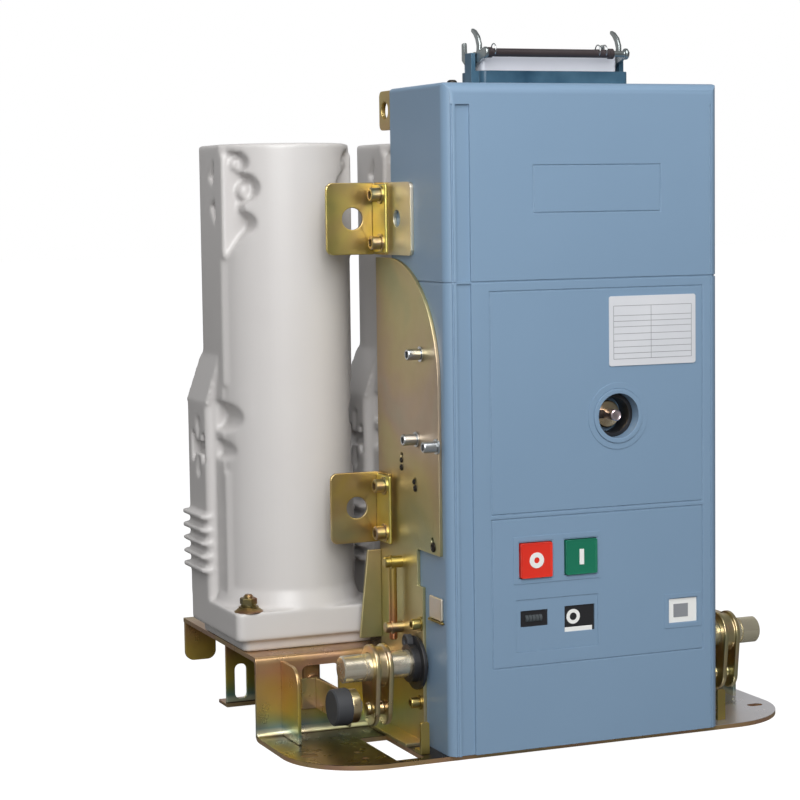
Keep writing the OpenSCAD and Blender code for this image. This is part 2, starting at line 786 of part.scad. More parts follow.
// Arm from the web with a round end and a disc that carry the stop
module stop_bracket() {
    x = stop_x0 + stop_l;
    color("darkkhaki") placed() {
        plate_yz(x, side_t) {
            translate([stop_y, stop_z]) circle(stop_arm_h / 2);
            translate([stop_y, stop_arm_z - stop_arm_h / 2]) square([web_y - stop_y, stop_arm_h]);
        }
        plate_xz(web_y - side_t, side_t)
            translate([x - 12, stop_arm_z - stop_arm_h / 2]) square([12 + side_t, stop_arm_h]);
        rod_x_axis(x, stop_y, stop_z, stop_cup_r, side_t + 4);
    }
}
module tie_rod() {
    color("peru") placed() {
        translate([rod_x, rod_y, rod_low]) cylinder(r = rod_r, h = rod_high - rod_low);
        rod_x_axis(-side_x - 15, rod_y, rod_high, 6, 15);
        rod_x_axis(-side_x - 15, rod_y, rod_low, 6, 15);
    }
}

base_frame();
front_gussets();
front_ears();
frame_rib(0);  // frame_rib_left
frame_rib(1);  // frame_rib_right
rear_leg(-1);  // rear_leg_left
rear_leg(1);  // rear_leg_right
side_plate(-1);  // side_plate_left
side_plate(1);  // side_plate_right
pad_plate(-1);  // pad_plate_left
pad_plate(1);  // pad_plate_right
upper_bracket(-1);  // upper_bracket_left
upper_bracket(1);  // upper_bracket_right
lower_bracket(-1);  // lower_bracket_left
lower_bracket(1);  // lower_bracket_right
lower_cover();
upper_cover();
rear_panel();
lifting_lugs();
data_plate();
crank_shaft();
push_button(0);  // off_button
push_button(1);  // on_button
indicator_bezel();
cycle_counter();
position_flag();
spring_flag();
connector_base();
connector_body();
connector_insert();
lock_lever();
pole(0);  // pole_left
pole(1);  // pole_middle
pole(2);  // pole_right
upper_terminals();
lower_terminals();
pole_drives();
shaft();
lever(lever_left_x);  // lever_left
lever(lever_right_x);  // lever_right
bearing(-1);  // bearing_left
bearing(1);  // bearing_right
rubber_stop();
stop_bracket();
tie_rod();
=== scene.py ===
"""Finish and fine pieces of the indoor vacuum circuit breaker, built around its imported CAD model.

Sizes in this script are millimetres, measured from the middle of the drive housing, from its front face
and from the floor. spot() turns them into the frame's metres.
"""

import json
import math

import bpy
from mathutils import Matrix, Vector

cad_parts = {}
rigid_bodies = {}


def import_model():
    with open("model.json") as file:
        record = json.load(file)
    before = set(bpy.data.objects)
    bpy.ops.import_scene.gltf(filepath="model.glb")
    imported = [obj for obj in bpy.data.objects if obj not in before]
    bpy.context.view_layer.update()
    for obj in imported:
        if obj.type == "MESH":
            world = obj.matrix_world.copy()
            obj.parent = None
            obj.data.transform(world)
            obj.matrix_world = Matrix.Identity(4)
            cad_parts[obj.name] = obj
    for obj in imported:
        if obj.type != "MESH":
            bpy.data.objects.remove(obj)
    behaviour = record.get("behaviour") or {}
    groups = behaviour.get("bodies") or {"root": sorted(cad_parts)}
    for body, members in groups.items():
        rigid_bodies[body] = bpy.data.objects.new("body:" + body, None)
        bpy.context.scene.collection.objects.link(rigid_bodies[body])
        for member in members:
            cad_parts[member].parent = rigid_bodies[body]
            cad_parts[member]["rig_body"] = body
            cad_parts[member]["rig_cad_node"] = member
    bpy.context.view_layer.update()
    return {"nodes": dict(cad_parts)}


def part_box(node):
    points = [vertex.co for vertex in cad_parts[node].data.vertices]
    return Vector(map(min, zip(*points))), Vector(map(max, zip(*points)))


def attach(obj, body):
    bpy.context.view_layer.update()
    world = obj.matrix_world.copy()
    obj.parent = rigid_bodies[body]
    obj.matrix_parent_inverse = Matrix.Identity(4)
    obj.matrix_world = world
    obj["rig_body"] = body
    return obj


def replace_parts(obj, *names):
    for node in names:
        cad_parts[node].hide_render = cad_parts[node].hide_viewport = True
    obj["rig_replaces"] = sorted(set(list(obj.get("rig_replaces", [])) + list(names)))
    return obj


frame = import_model()

MM = 0.001
ROUND = 48
RIGHT = Vector((1, 0, 0))
LEFT = -RIGHT
BACK = Vector((0, 1, 0))
FORWARD = -BACK
UP = Vector((0, 0, 1))

SIDES = [(-1, "left", LEFT), (1, "right", RIGHT)]
POLES = ("left", "middle", "right")

cover_low, cover_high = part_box("upper_cover")
DATUM = Vector(((cover_low.x + cover_high.x) / 2, cover_low.y, 0))


def spot(x, y, z):
    """Turns a place in millimetres into a place in the frame."""
    return DATUM + Vector((x, y, z)) * MM


def reach(node):
    """Gives a CAD node's lowest and highest corners in millimetres."""
    low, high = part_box(node)
    return (low - DATUM) / MM, (high - DATUM) / MM


def outer(side, low, high):
    """The X of the end that lies on one side, -1 for left and 1 for right."""
    return low.x if side < 0 else high.x


# ---- modelling ----

def select_only(piece):
    if bpy.context.object and bpy.context.object.mode == "EDIT":
        bpy.ops.object.mode_set(mode="OBJECT")
    bpy.ops.object.select_all(action="DESELECT")
    piece.select_set(True)
    bpy.context.view_layer.objects.active = piece


def settle(piece, name):
    """Names a piece and puts its place into its mesh."""
    select_only(piece)
    bpy.ops.object.transform_apply(location=True, rotation=True, scale=True)
    piece.name = name
    piece.data.name = name
    return piece


def apply_modifier(piece, modifier):
    select_only(piece)
    bpy.ops.object.modifier_apply(modifier=modifier.name)


def begin_edit(piece):
    """Enters edit mode with the whole piece selected."""
    select_only(piece)
    bpy.ops.object.mode_set(mode="EDIT")
    bpy.ops.mesh.select_all(action="SELECT")


def end_edit():
    bpy.ops.object.mode_set(mode="OBJECT")


def face_outwards(piece):
    begin_edit(piece)
    bpy.ops.mesh.normals_make_consistent(inside=False)
    end_edit()
    return piece


def pick(piece, kind, wanted):
    """Enters edit mode with only the faces, or only the edges, selected that pass the test."""
    begin_edit(piece)
    bpy.ops.mesh.select_mode(type=kind)
    bpy.ops.mesh.select_all(action="DESELECT")
    end_edit()
    for item in piece.data.polygons if kind == "FACE" else piece.data.edges:
        item.select = wanted(item)
    bpy.ops.object.mode_set(mode="EDIT")


def pick_faces(piece, wanted):
    """Picks faces by their centre, in millimetres, and their normal."""
    pick(piece, "FACE", lambda face: wanted((face.center - DATUM) / MM, face.normal))


def round_edges(piece, wanted, width, segments):
    """Bevels the straight edges whose two ends, in millimetres, pass the test."""
    pick(piece, "EDGE",
         lambda edge: wanted(*[(piece.data.vertices[end].co - DATUM) / MM for end in edge.vertices]))
    bpy.ops.mesh.bevel(offset=width * MM, segments=segments, affect="EDGES")
    end_edit()
    return piece


def upright(start, end):
    return abs(start.z - end.z) > 1


def runs_back(start, end):
    return abs(start.y - end.y) > 1


def block(name, low, high):
    """A box between two corners."""
    low = spot(*low)
    high = spot(*high)
    bpy.ops.mesh.primitive_cube_add(size=1, location=(low + high) / 2, scale=high - low)
    return settle(bpy.context.object, name)


def side_block(name, side, across, deep, up, start=(0, 0, 0)):
    """A box given by its reaches from a start, the reach across being turned to one side."""
    ends = zip(sorted(side * out for out in across), deep, up)
    low, high = [[origin + step for origin, step in zip(start, end)] for end in ends]
    return block(name, low, high)


def disc(name, centre, axis, radius, sides):
    """A flat disc that faces along the axis."""
    bpy.ops.mesh.primitive_circle_add(vertices=sides, radius=radius * MM, fill_type="NGON", location=centre,
                                      rotation=axis.to_track_quat("Z", "Y").to_euler())
    return settle(bpy.context.object, name)


def turned(name, start, axis, rings, sides=ROUND):
    """A turned piece: a disc extruded along the axis through rings of (distance, radius)."""
    first, radius = rings[0]
    piece = disc(name, start + axis * first * MM, axis, radius, sides)
    begin_edit(piece)
    for distance, next_radius in rings[1:]:
        step = axis * (distance - first) * MM
        bpy.ops.mesh.extrude_region_move(TRANSFORM_OT_translate={"value": step})
        if next_radius != radius:
            grow = next_radius / radius
            bpy.ops.transform.resize(value=(grow,) * 3, center_override=start + axis * distance * MM)
        first = distance
        radius = next_radius
    return face_outwards(piece)


def ring(name, centre, axis, inner, outer, thick, sides=ROUND):
    """A flat ring with a square section, its rear face on the centre."""
    piece = disc(name, centre, axis, outer, sides)
    begin_edit(piece)
    bpy.ops.mesh.inset(thickness=(outer - inner) * MM)
    bpy.ops.mesh.delete(type="FACE")
    bpy.ops.mesh.select_all(action="SELECT")
    bpy.ops.mesh.extrude_region_move(TRANSFORM_OT_translate={"value": axis * thick * MM})
    return face_outwards(piece)


def soften(piece, width, segments=2, angle=30):
    """Rounds every edge that is sharper than the angle."""
    edge = piece.modifiers.new("rounding", "BEVEL")
    edge.width = width * MM
    edge.segments = segments
    edge.limit_method = "ANGLE"
    edge.angle_limit = math.radians(angle)
    edge.use_clamp_overlap = False
    edge.miter_outer = "MITER_ARC"
    apply_modifier(piece, edge)
    return piece


def shade(piece, angle=35):
    """Smooth shading on curves only, with flat faces kept flat up to their rounded edges."""
    select_only(piece)
    bpy.ops.object.shade_smooth_by_angle(angle=math.radians(angle))
    even = piece.modifiers.new("even", "WEIGHTED_NORMAL")
    even.keep_sharp = True
    apply_modifier(piece, even)
    return piece


def join(name, *pieces):
    select_only(pieces[0])
    for piece in pieces[1:]:
        piece.select_set(True)
    bpy.ops.object.join()
    return settle(bpy.context.object, name)


def cut(piece, tool, operation="DIFFERENCE"):
    """Takes the tool's shape out of a piece, or adds it, and removes the tool.

    Both are closed shapes, which this solver needs, and it leaves the piece closed.
    """
    change = piece.modifiers.new("cut", "BOOLEAN")
    change.operation = operation
    change.solver = "MANIFOLD"
    change.object = tool
    apply_modifier(piece, change)
    bpy.data.objects.remove(tool)
    return piece


def weld(piece, tool):
    return cut(piece, tool, "UNION")


def copy_of(piece, name, shift=None, turn=None):
    """A copy with its own mesh, turned about the frame's origin and then shifted, in metres."""
    select_only(piece)
    bpy.ops.object.duplicate()
    twin = bpy.context.object
    place = Matrix.Translation(shift or Vector())
    twin.matrix_world = place @ (turn or Matrix.Identity(4))
    return settle(twin, name)


def finish(piece, material, body="frame"):
    """Gives a piece its material and the body that it moves with."""
    piece.data.materials.clear()
    piece.data.materials.append(material)
    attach(piece, body)
    return piece


def dress(piece, width, material, body="frame", segments=2):
    """Rounds a piece's sharp edges, shades it and finishes it."""
    return finish(shade(soften(piece, width, segments)), material, body)


def worked_copy(node, name):
    """A merged copy of a CAD node that can be worked on and stands for the node."""
    select_only(frame["nodes"][node])
    bpy.ops.object.duplicate()
    piece = bpy.context.object
    piece.parent = None
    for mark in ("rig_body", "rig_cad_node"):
        del piece[mark]
    bpy.ops.mesh.customdata_custom_splitnormals_clear()
    begin_edit(piece)
    bpy.ops.mesh.remove_doubles(threshold=0.01 * MM)
    settle(piece, name)
    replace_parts(piece, node)
    return piece


def softened(node, name, material, slot, width, segments=2, body="frame"):
    """A CAD node's shape with its sharp edges broken."""
    return dress(worked_copy(node, name), width, material, body, segments)


# ---- shader nodes, and the groups that the materials share ----

def feed(tree, node, values):
    """Sets or links a node's inputs."""
    for key, value in values.items():
        if isinstance(value, bpy.types.NodeSocket):
            tree.links.new(value, node.inputs[key])
        else:
            node.inputs[key].default_value = value
    return node


def put(tree, kind, values=None, **settings):
    """Adds a shader node, sets its settings, and sets or links its inputs."""
    node = tree.nodes.new("ShaderNode" + kind)
    for key, value in settings.items():
        setattr(node, key, value)
    return feed(tree, node, values or {})


def rgb(red, green, blue):
    return (red, green, blue, 1)


def own_place(tree):
    """The piece's own coordinates."""
    return put(tree, "TexCoord").outputs["Object"]


def noise(tree, values):
    return put(tree, "TexNoise", {"Vector": own_place(tree), **values}).outputs["Fac"]


def spread(tree, value, start, end, first=0.0, last=1.0):
    """Stretches the values between two ends to the range from first to last."""
    return put(tree, "MapRange", {"Value": value, "From Min": start, "From Max": end, "To Min": first,
                                  "To Max": last}).outputs["Result"]


def times(tree, first, second):
    return put(tree, "Math", {0: first, 1: second}, operation="MULTIPLY").outputs["Value"]


def swing(tree, value, width, middle):
    """Turns a noise into a small swing about a middle value."""
    centred = put(tree, "Math", {0: value, 1: 0.5}, operation="SUBTRACT").outputs["Value"]
    return put(tree, "Math", {0: times(tree, centred, width), 1: middle}, operation="ADD").outputs["Value"]


def dot(tree, first, second):
    return put(tree, "VectorMath", {0: first, 1: second}, operation="DOT_PRODUCT").outputs["Value"]


def blend(tree, share, first, second):
    """Mixes two colours. A Mix node has its colour sockets after those of the other kinds."""
    return put(tree, "Mix", {0: share, 6: first, 7: second}, data_type="RGBA").outputs[2]


def colour_ramp(tree, share, stops):
    """A colour ramp, its stops given as (share, colour), none of them at 0 or 1."""
    ramp = put(tree, "ValToRGB", {"Fac": share})
    elements = ramp.color_ramp.elements
    for place, colour in stops:
        elements.new(place).color = rgb(*colour)
    elements.remove(elements[0])
    elements.remove(elements[-1])
    return ramp.outputs["Color"]


def new_group(name, inputs, outputs):
    """Starts a shader group and gives its tree, its input node and its output node."""
    tree = bpy.data.node_groups.new(name, "ShaderNodeTree")
    for label, kind, value in inputs:
        socket = tree.interface.new_socket(name=label, in_out="INPUT", socket_type="NodeSocket" + kind)
        socket.default_value = value
    for label, kind in outputs:
        tree.interface.new_socket(name=label, in_out="OUTPUT", socket_type="NodeSocket" + kind)
    return tree, tree.nodes.new("NodeGroupInput"), tree.nodes.new("NodeGroupOutput")


def shift_tone_group():
    """Cloudy change between a colour and a second one."""
    tree, given, result = new_group(
        "shift_tone",
        [("Color", "Color", GREY), ("Second", "Color", GREY), ("Size", "Float", 8.0),
         ("Reach", "Float", 0.5)],
        [("Color", "Color"), ("Mask", "Float")])
    cloud = noise(tree, {"Scale": given.outputs["Size"], "Detail": 4.0, "Roughness": 0.55})
    mask = times(tree, spread(tree, cloud, 0.35, 0.65), given.outputs["Reach"])
    tone = blend(tree, mask, given.outputs["Color"], given.outputs["Second"])
    feed(tree, result, {"Color": tone, "Mask": mask})
    return tree


def grain_group():
    """Fine surface grain, as a height and as a roughness near a middle value."""
    tree, given, result = new_group(
        "grain", [("Size", "Float", 900.0), ("Rough", "Float", 0.4), ("Spread", "Float", 0.06)],
        [("Height", "Float"), ("Roughness", "Float")])
    fine = noise(tree, {"Scale": given.outputs["Size"], "Detail": 2.0})
    broad = noise(tree, {"Scale": 14.0, "Detail": 5.0})
    rough = swing(tree, broad, given.outputs["Spread"], given.outputs["Rough"])
    feed(tree, result, {"Height": fine, "Roughness": rough})
    return tree


def worn_and_highlit_edge_group():
    """Lighter or darker edges, found where a rounded normal leaves the true one: partly wear, partly a
    painted highlight on the edges.
    """
    tree, given, result = new_group(
        "worn_and_highlit_edge", [("Color", "Color", GREY), ("Edge", "Color", GREY), ("Amount", "Float", 0.5)],
        [("Color", "Color"), ("Mask", "Float")])
    rounded = put(tree, "Bevel", {"Radius": 0.8 * MM}, samples=4)
    true = put(tree, "NewGeometry")
    edge = spread(tree, dot(tree, rounded.outputs["Normal"], true.outputs["Normal"]), 0.995, 0.9)
    broken = spread(tree, noise(tree, {"Scale": 160.0, "Detail": 4.0}), 0.4, 0.6)
    mask = times(tree, times(tree, edge, broken), given.outputs["Amount"])
    tone = blend(tree, mask, given.outputs["Color"], given.outputs["Edge"])
    feed(tree, result, {"Color": tone, "Mask": mask})
    return tree


def passivation_group():
    """The film of yellow-passivated zinc: gold drifting to olive, rose, violet and teal."""
    tree, given, result = new_group(
        "passivation",
        [("Gold", "Color", GREY), ("Film", "Float", 0.5), ("Size", "Float", 9.0), ("Rough", "Float", 0.35)],
        [("Color", "Color"), ("Roughness", "Float")])
    drift = noise(tree, {"Scale": given.outputs["Size"], "Detail": 3.0, "Distortion": 0.6})
    film = colour_ramp(tree, drift, [
        (0.30, (0.10, 0.32, 0.30)), (0.38, (0.36, 0.42, 0.10)), (0.47, (0.72, 0.52, 0.12)),
        (0.56, (0.70, 0.34, 0.16)), (0.63, (0.62, 0.24, 0.34)), (0.72, (0.36, 0.34, 0.46))])
    tone = blend(tree, given.outputs["Film"], given.outputs["Gold"], film)
    rough = swing(tree, noise(tree, {"Scale": 60.0, "Detail": 5.0}), 0.22, given.outputs["Rough"])
    feed(tree, result, {"Color": tone, "Roughness": rough})
    return tree


def passing_tone_group():
    """One colour that passes into a second one between two places on an axis."""
    tree, given, result = new_group(
        "passing_tone",
        [("Color", "Color", GREY), ("Second", "Color", GREY), ("Axis", "Vector", (0, 0, 1)),
         ("Start", "Float", 0.0), ("End", "Float", 0.1)],
        [("Color", "Color")])
    along = dot(tree, own_place(tree), given.outputs["Axis"])
    share = spread(tree, along, given.outputs["Start"], given.outputs["End"])
    feed(tree, result, {"Color": blend(tree, share, given.outputs["Color"], given.outputs["Second"])})
    return tree


GREY = rgb(0.5, 0.5, 0.5)
WHITE = rgb(1, 1, 1)
SHIFT_TONE = shift_tone_group()
PASSING_TONE = passing_tone_group()
GRAIN = grain_group()
WORN_AND_HIGHLIT_EDGE = worn_and_highlit_edge_group()
PASSIVATION = passivation_group()


def use_group(tree, group, values):
    return put(tree, "Group", values, node_tree=group)


def new_material(name, **shader_values):
    """A material with one Principled shader, whose even values are set on its own sockets."""
    material = bpy.data.materials.new(name)
    material.use_nodes = True
    shader = material.node_tree.nodes["Principled BSDF"]
    for key, value in shader_values.items():
        shader.inputs[key.replace("_", " ")].default_value = value
    return material, material.node_tree, shader


def add_grain(tree, shader, size, rough, width, strength, depth):
    """Gives the surface a fine relief and returns the roughness that goes with it."""
    surface = use_group(tree, GRAIN, {"Size": size, "Rough": rough, "Spread": width})
    bump = put(tree, "Bump", {"Height": surface.outputs["Height"], "Strength": strength,
                              "Distance": depth * MM})
    feed(tree, shader, {"Normal": bump.outputs["Normal"]})
    return surface.outputs["Roughness"]


def moulded(name, colour, second, rough, edge=None, wear_and_highlight=0.0, size=12.0, reach=0.5, grain=1100.0,
            depth=0.05):
    """Paint, plastic, resin or rubber: a drifting tone, fine grain, and lighter edges that are partly rubbed
    and partly a painted highlight.
    """
    material, tree, shader = new_material(name)
    tone = use_group(tree, SHIFT_TONE, {"Color": rgb(*colour), "Second": rgb(*second), "Size": size,
                                        "Reach": reach})
    if edge:
        tone = use_group(tree, WORN_AND_HIGHLIT_EDGE, {"Color": tone.outputs["Color"], "Edge": rgb(*edge),
                                           "Amount": wear_and_highlight})
    feed(tree, shader, {"Base Color": tone.outputs["Color"],
                        "Roughness": add_grain(tree, shader, grain, rough, 0.12, 0.35, depth)})
    return material


def passivated(name, gold, film, rough, size=9.0, metal=1.0, depth=0.04):
    """Zinc-plated steel with a yellow film, its edges paler, partly from a thinner film and partly as a
    painted highlight.
    """
    material, tree, shader = new_material(name, Metallic=metal)
    coat = use_group(tree, PASSIVATION, {"Gold": rgb(*gold), "Film": film, "Size": size, "Rough": rough})
    edges = use_group(tree, WORN_AND_HIGHLIT_EDGE, {"Color": coat.outputs["Color"], "Edge": rgb(0.85, 0.75, 0.42),
                                        "Amount": 0.5})
    feed(tree, shader, {"Base Color": edges.outputs["Color"], "Roughness": coat.outputs["Roughness"]})
    add_grain(tree, shader, 420.0, rough, 0.1, 0.2, depth)
    return material


def bare_metal(name, colour, second, rough, size=30.0):
    """Plain metal with a faint change of tone and a fine machined grain."""
    material, tree, shader = new_material(name, Metallic=1.0)
    tone = use_group(tree, SHIFT_TONE, {"Color": rgb(*colour), "Second": rgb(*second), "Size": size,
                                        "Reach": 0.7})
    feed(tree, shader, {"Base Color": tone.outputs["Color"],
                        "Roughness": add_grain(tree, shader, 800.0, rough, 0.25, 0.2, 0.03)})
    return material


def reopen(material):
    """Gives a material's tree, its shader and the socket that feeds its base colour."""
    tree = material.node_tree
    shader = tree.nodes["Principled BSDF"]
    return tree, shader, shader.inputs["Base Color"].links[0].from_socket


def two_metals(name, axis, start, end, first, second):
    """Bare metal that passes from one colour to another between two places on an axis."""
    material = bare_metal(name, first, first, 0.3)
    tree, shader, worn = reopen(material)
    offset = DATUM.dot(axis)
    tone = use_group(tree, PASSING_TONE, {"Color": worn, "Second": rgb(*second), "Axis": axis,
                                          "Start": offset + start * MM, "End": offset + end * MM})
    feed(tree, shader, {"Base Color": tone.outputs["Color"]})
    return material


def colour_along(tree, value, start, end, stops):
    """A colour ramp over a place in metres, its ends and stops in millimetres."""
    share = spread(tree, value, start * MM, end * MM)
    return colour_ramp(tree, share, [((place - start) / (end - start), colour) for place, colour in stops])


def base_steel():
    """The base's colours: dark on the floor sheet and pale at its right end as a painted reflection, bright
    along the bend as a painted highlight, and olive up the web from the film.
    """
    material = passivated("base_steel", (0.60, 0.44, 0.16), 0.6, 0.3, size=13.0, metal=0.82, depth=0.01)
    tree, shader, film = reopen(material)
    split = put(tree, "SeparateXYZ", {"Vector": own_place(tree)})
    height = split.outputs["Z"]
    # The stops from 5 to 11 mm up paint a highlight along the bend between the floor sheet and the web.
    web = colour_along(tree, height, 0, 70,
                       [(0.2, (0.50, 0.32, 0.20)), (3.6, (0.50, 0.32, 0.20)), (5, (0.80, 0.86, 0.66)),
                        (8, (0.70, 0.82, 0.70)), (11, (0.10, 0.34, 0.36)), (17, (0.30, 0.40, 0.14)),
                        (26, (0.62, 0.50, 0.08)), (44, (0.60, 0.42, 0.10)), (58, (0.52, 0.30, 0.18)),
                        (69.8, (0.50, 0.34, 0.20))])
    # Along X the floor sheet gets a painted reflection: olive at the left end, dark over most of it, pale
    # towards the right end.
    floor = colour_along(tree, split.outputs["X"], -260.0, 230.0,
                         [(-259, (0.40, 0.38, 0.08)), (-228, (0.30, 0.26, 0.05)), (-200, (0.07, 0.045, 0.02)),
                          (-150, (0.03, 0.018, 0.01)), (80, (0.05, 0.03, 0.02)), (125, (0.60, 0.56, 0.56)),
                          (229, (0.80, 0.79, 0.82))])
    # The painted reflection shows only on the top face of the floor sheet.
    floor_reflection_share = times(tree, spread(tree, height, 3.5 * MM, 3.9 * MM),
                     spread(tree, height, 4.3 * MM, 5.2 * MM, 1.0, 0.0))
    feed(tree, shader, {"Base Color": blend(tree, floor_reflection_share, blend(tree, 0.7, film, web), floor)})
    return material


COVER_PAINT = moulded("cover_paint", (0.18, 0.275, 0.39), (0.195, 0.295, 0.415), 0.42,
                      edge=(0.27, 0.38, 0.50), wear_and_highlight=0.35, size=5.0, grain=1300.0, depth=0.06)
SOCKET_PAINT = moulded("socket_blue", (0.012, 0.05, 0.09), (0.055, 0.125, 0.185), 0.4,
                       edge=(0.20, 0.32, 0.40), wear_and_highlight=0.4, size=22.0, reach=0.9)
GRIP_BLACK = moulded("grip_black", (0.03, 0.022, 0.024), (0.05, 0.04, 0.042), 0.35,
                     edge=(0.12, 0.11, 0.11), wear_and_highlight=0.4)
POLE_RESIN = moulded("pole_resin", (0.56, 0.54, 0.53), (0.60, 0.585, 0.57), 0.36,
                     edge=(0.68, 0.66, 0.65), wear_and_highlight=0.3, size=7.0, grain=500.0, depth=0.05)
BLACK_PLASTIC = moulded("black_plastic", (0.012, 0.012, 0.014), (0.02, 0.02, 0.022), 0.4,
                        edge=(0.06, 0.06, 0.065), wear_and_highlight=0.5)
DARK_RUBBER = moulded("dark_rubber", (0.035, 0.037, 0.042), (0.055, 0.056, 0.06), 0.62,
                      edge=(0.12, 0.12, 0.125), wear_and_highlight=0.5, depth=0.08)
GREY_PLASTIC = moulded("grey_plastic", (0.70, 0.71, 0.77), (0.76, 0.77, 0.82), 0.35,
                       edge=(0.75, 0.75, 0.76), wear_and_highlight=0.3)
RED_PLASTIC = moulded("red_button", (0.64, 0.026, 0.013), (0.70, 0.035, 0.018), 0.32,
                      edge=(0.85, 0.2, 0.14), wear_and_highlight=0.5)
GREEN_PLASTIC = moulded("green_button", (0.007, 0.145, 0.08), (0.01, 0.17, 0.095), 0.32,
                        edge=(0.1, 0.4, 0.27), wear_and_highlight=0.5)
WHITE_MARK = moulded("white_mark", (0.80, 0.80, 0.78), (0.74, 0.75, 0.72), 0.4)
PLATE_WHITE = moulded("plate_white", (0.62, 0.63, 0.66), (0.54, 0.56, 0.59), 0.3, size=20.0)
PLATE_INK = moulded("plate_ink", (0.22, 0.23, 0.25), (0.30, 0.31, 0.33), 0.5)
WINDOW_GREY = moulded("counter_grey", (0.06, 0.07, 0.075), (0.10, 0.11, 0.115), 0.2)

SHEET_STEEL = passivated("sheet_steel", (0.50, 0.42, 0.19), 0.32, 0.36)
SIDE_STEEL = passivated("side_steel", (0.53, 0.49, 0.31), 0.24, 0.42, size=7.0)
PAD_STEEL = passivated("pad_steel", (0.70, 0.67, 0.57), 0.1, 0.44, size=12.0)
BRACKET_STEEL = passivated("bracket_steel", (0.50, 0.42, 0.14), 0.22, 0.33, size=14.0)
BASE_STEEL = base_steel()
SHAFT_STEEL = passivated("shaft_steel", (0.86, 0.82, 0.64), 0.12, 0.26, size=20.0, metal=0.88, depth=0.006)
LEVER_STEEL = passivated("lever_steel", (0.62, 0.55, 0.36), 0.25, 0.3, size=30.0)
BOLT_STEEL = passivated("bolt_steel", (0.50, 0.44, 0.30), 0.25, 0.32, size=60.0)
BRASS = bare_metal("brass", (0.55, 0.44, 0.16), (0.45, 0.34, 0.12), 0.3)
BRIGHT_STEEL = bare_metal("bright_steel", (0.62, 0.64, 0.65), (0.50, 0.53, 0.54), 0.28)
FOOT_BRONZE = passivated("foot_bronze", (0.20, 0.13, 0.07), 0.2, 0.4, size=40.0)
# A lighter copy of the brackets' gold for the bent-back straps: a painted highlight where they face the
# light.
LIT_STRAP_STEEL = passivated("lit_strap_steel", (0.75, 0.66, 0.20), 0.12, 0.34, size=20.0)
# The rod passes from copper low down to brass higher up; its darker lower end is partly a painted shade near
# the shaft.
ROD_METAL = two_metals("rod_metal", UP, 95, 135, (0.55, 0.24, 0.13), (0.60, 0.44, 0.14))
CRANK_METAL = two_metals("crank_metal", BACK, 15, 20, (0.80, 0.66, 0.68), (0.66, 0.50, 0.10))
LATCH_STEEL = bare_metal("latch_steel", (0.36, 0.40, 0.40), (0.50, 0.53, 0.53), 0.34)
DARK_SHEET = passivated("dark_sheet", (0.12, 0.09, 0.05), 0.3, 0.5, size=16.0)
TERMINAL_SILVER = bare_metal("terminal_silver", (0.72, 0.66, 0.58), (0.62, 0.50, 0.40), 0.3)
DARK_HOLE = bare_metal("dark_steel", (0.05, 0.045, 0.04), (0.08, 0.07, 0.06), 0.5)


# ---- fasteners ----

ORIGIN = Vector((0, 0, 0))


def hexagon(name, across, height, lift=0.0):
    """A hexagon head above the frame's origin, with its corners turned down."""
    radius = across / math.sqrt(3)
    rings = [(0, radius), (height * 0.86, radius), (height, radius * 0.88)]
    head = turned(name, UP * lift * MM, UP, rings, 6)
    return soften(head, 0.25)


def thread_rings(start, length, radius, pitch=1.25):
    """Rings that give a screw end its ridges."""
    rings = [(start, radius - 0.5)]
    turns = int(length / pitch)
    for i in range(turns):
        rings.append((start + (i + 0.25) * pitch, radius))
        rings.append((start + (i + 0.75) * pitch, radius - 0.5))
    rings.append((start + turns * pitch + 0.6, radius - 1.2))
    return rings


def washer(radius, start, end, step, sides=32):
    """A washer between two heights, its faces a step smaller than its rim."""
    rim = radius + step
    rings = [(start, radius), (start + 0.2, rim), (end - 0.2, rim), (end, radius)]
    return turned("washer", ORIGIN, UP, rings, sides)


def hex_bolt(name, thread, end=3.0):
    """Washer, spring washer, hexagon head and a threaded end, standing on the frame's origin."""
    flat = washer(thread, 0, 1.5, thread * 0.04)
    spring = turned("spring", ORIGIN, UP, [(1.5, thread * 0.76), (1.8, thread * 0.8), (3.2, thread * 0.8),
                                           (3.5, thread * 0.76)], 32)
    head = hexagon("head", thread * 1.6, thread * 0.66, 3.5)
    top = 3.5 + thread * 0.66
    screw = turned("screw", ORIGIN, UP, thread_rings(top - 0.5, end, thread / 2), 24)
    return shade(join(name, flat, spring, head, screw), 40)


def cap_screw(name, radius, height):
    """Washer and a round head with a deep hexagon socket, standing on the frame's origin."""
    flat = washer(radius * 1.28, 0, 1.6, radius * 0.06)
    head = turned("cap", ORIGIN, UP, [(1.6, radius * 0.9), (1.9, radius), (height - 0.8, radius),
                                      (height, radius * 0.86)], 40)
    cut(head, hexagon("socket", radius * 1.15, height, height * 0.45))
    return shade(join(name, flat, head), 40)


def pan_screw(name, radius):
    """A low domed screw head with a cross slot, standing on the frame's origin."""
    dome = [(0, 1), (0.25, 0.98), (0.5, 0.8), (0.62, 0.5)]
    head = turned(name, ORIGIN, UP, [(radius * up, radius * out) for up, out in dome], 32)
    for turn in (0, 90):
        size = (radius * 0.9, radius * 0.22, radius)
        bpy.ops.mesh.primitive_cube_add(size=1, location=UP * radius * 0.8 * MM,
                                        scale=Vector(size) * MM, rotation=(0, 0, math.radians(turn)))
        cut(head, settle(bpy.context.object, "slot"))
    return shade(head, 40)


def aim(axis):
    """The turn that lays a piece standing on the origin along an axis."""
    return axis.to_track_quat("Z", "Y").to_matrix().to_4x4()


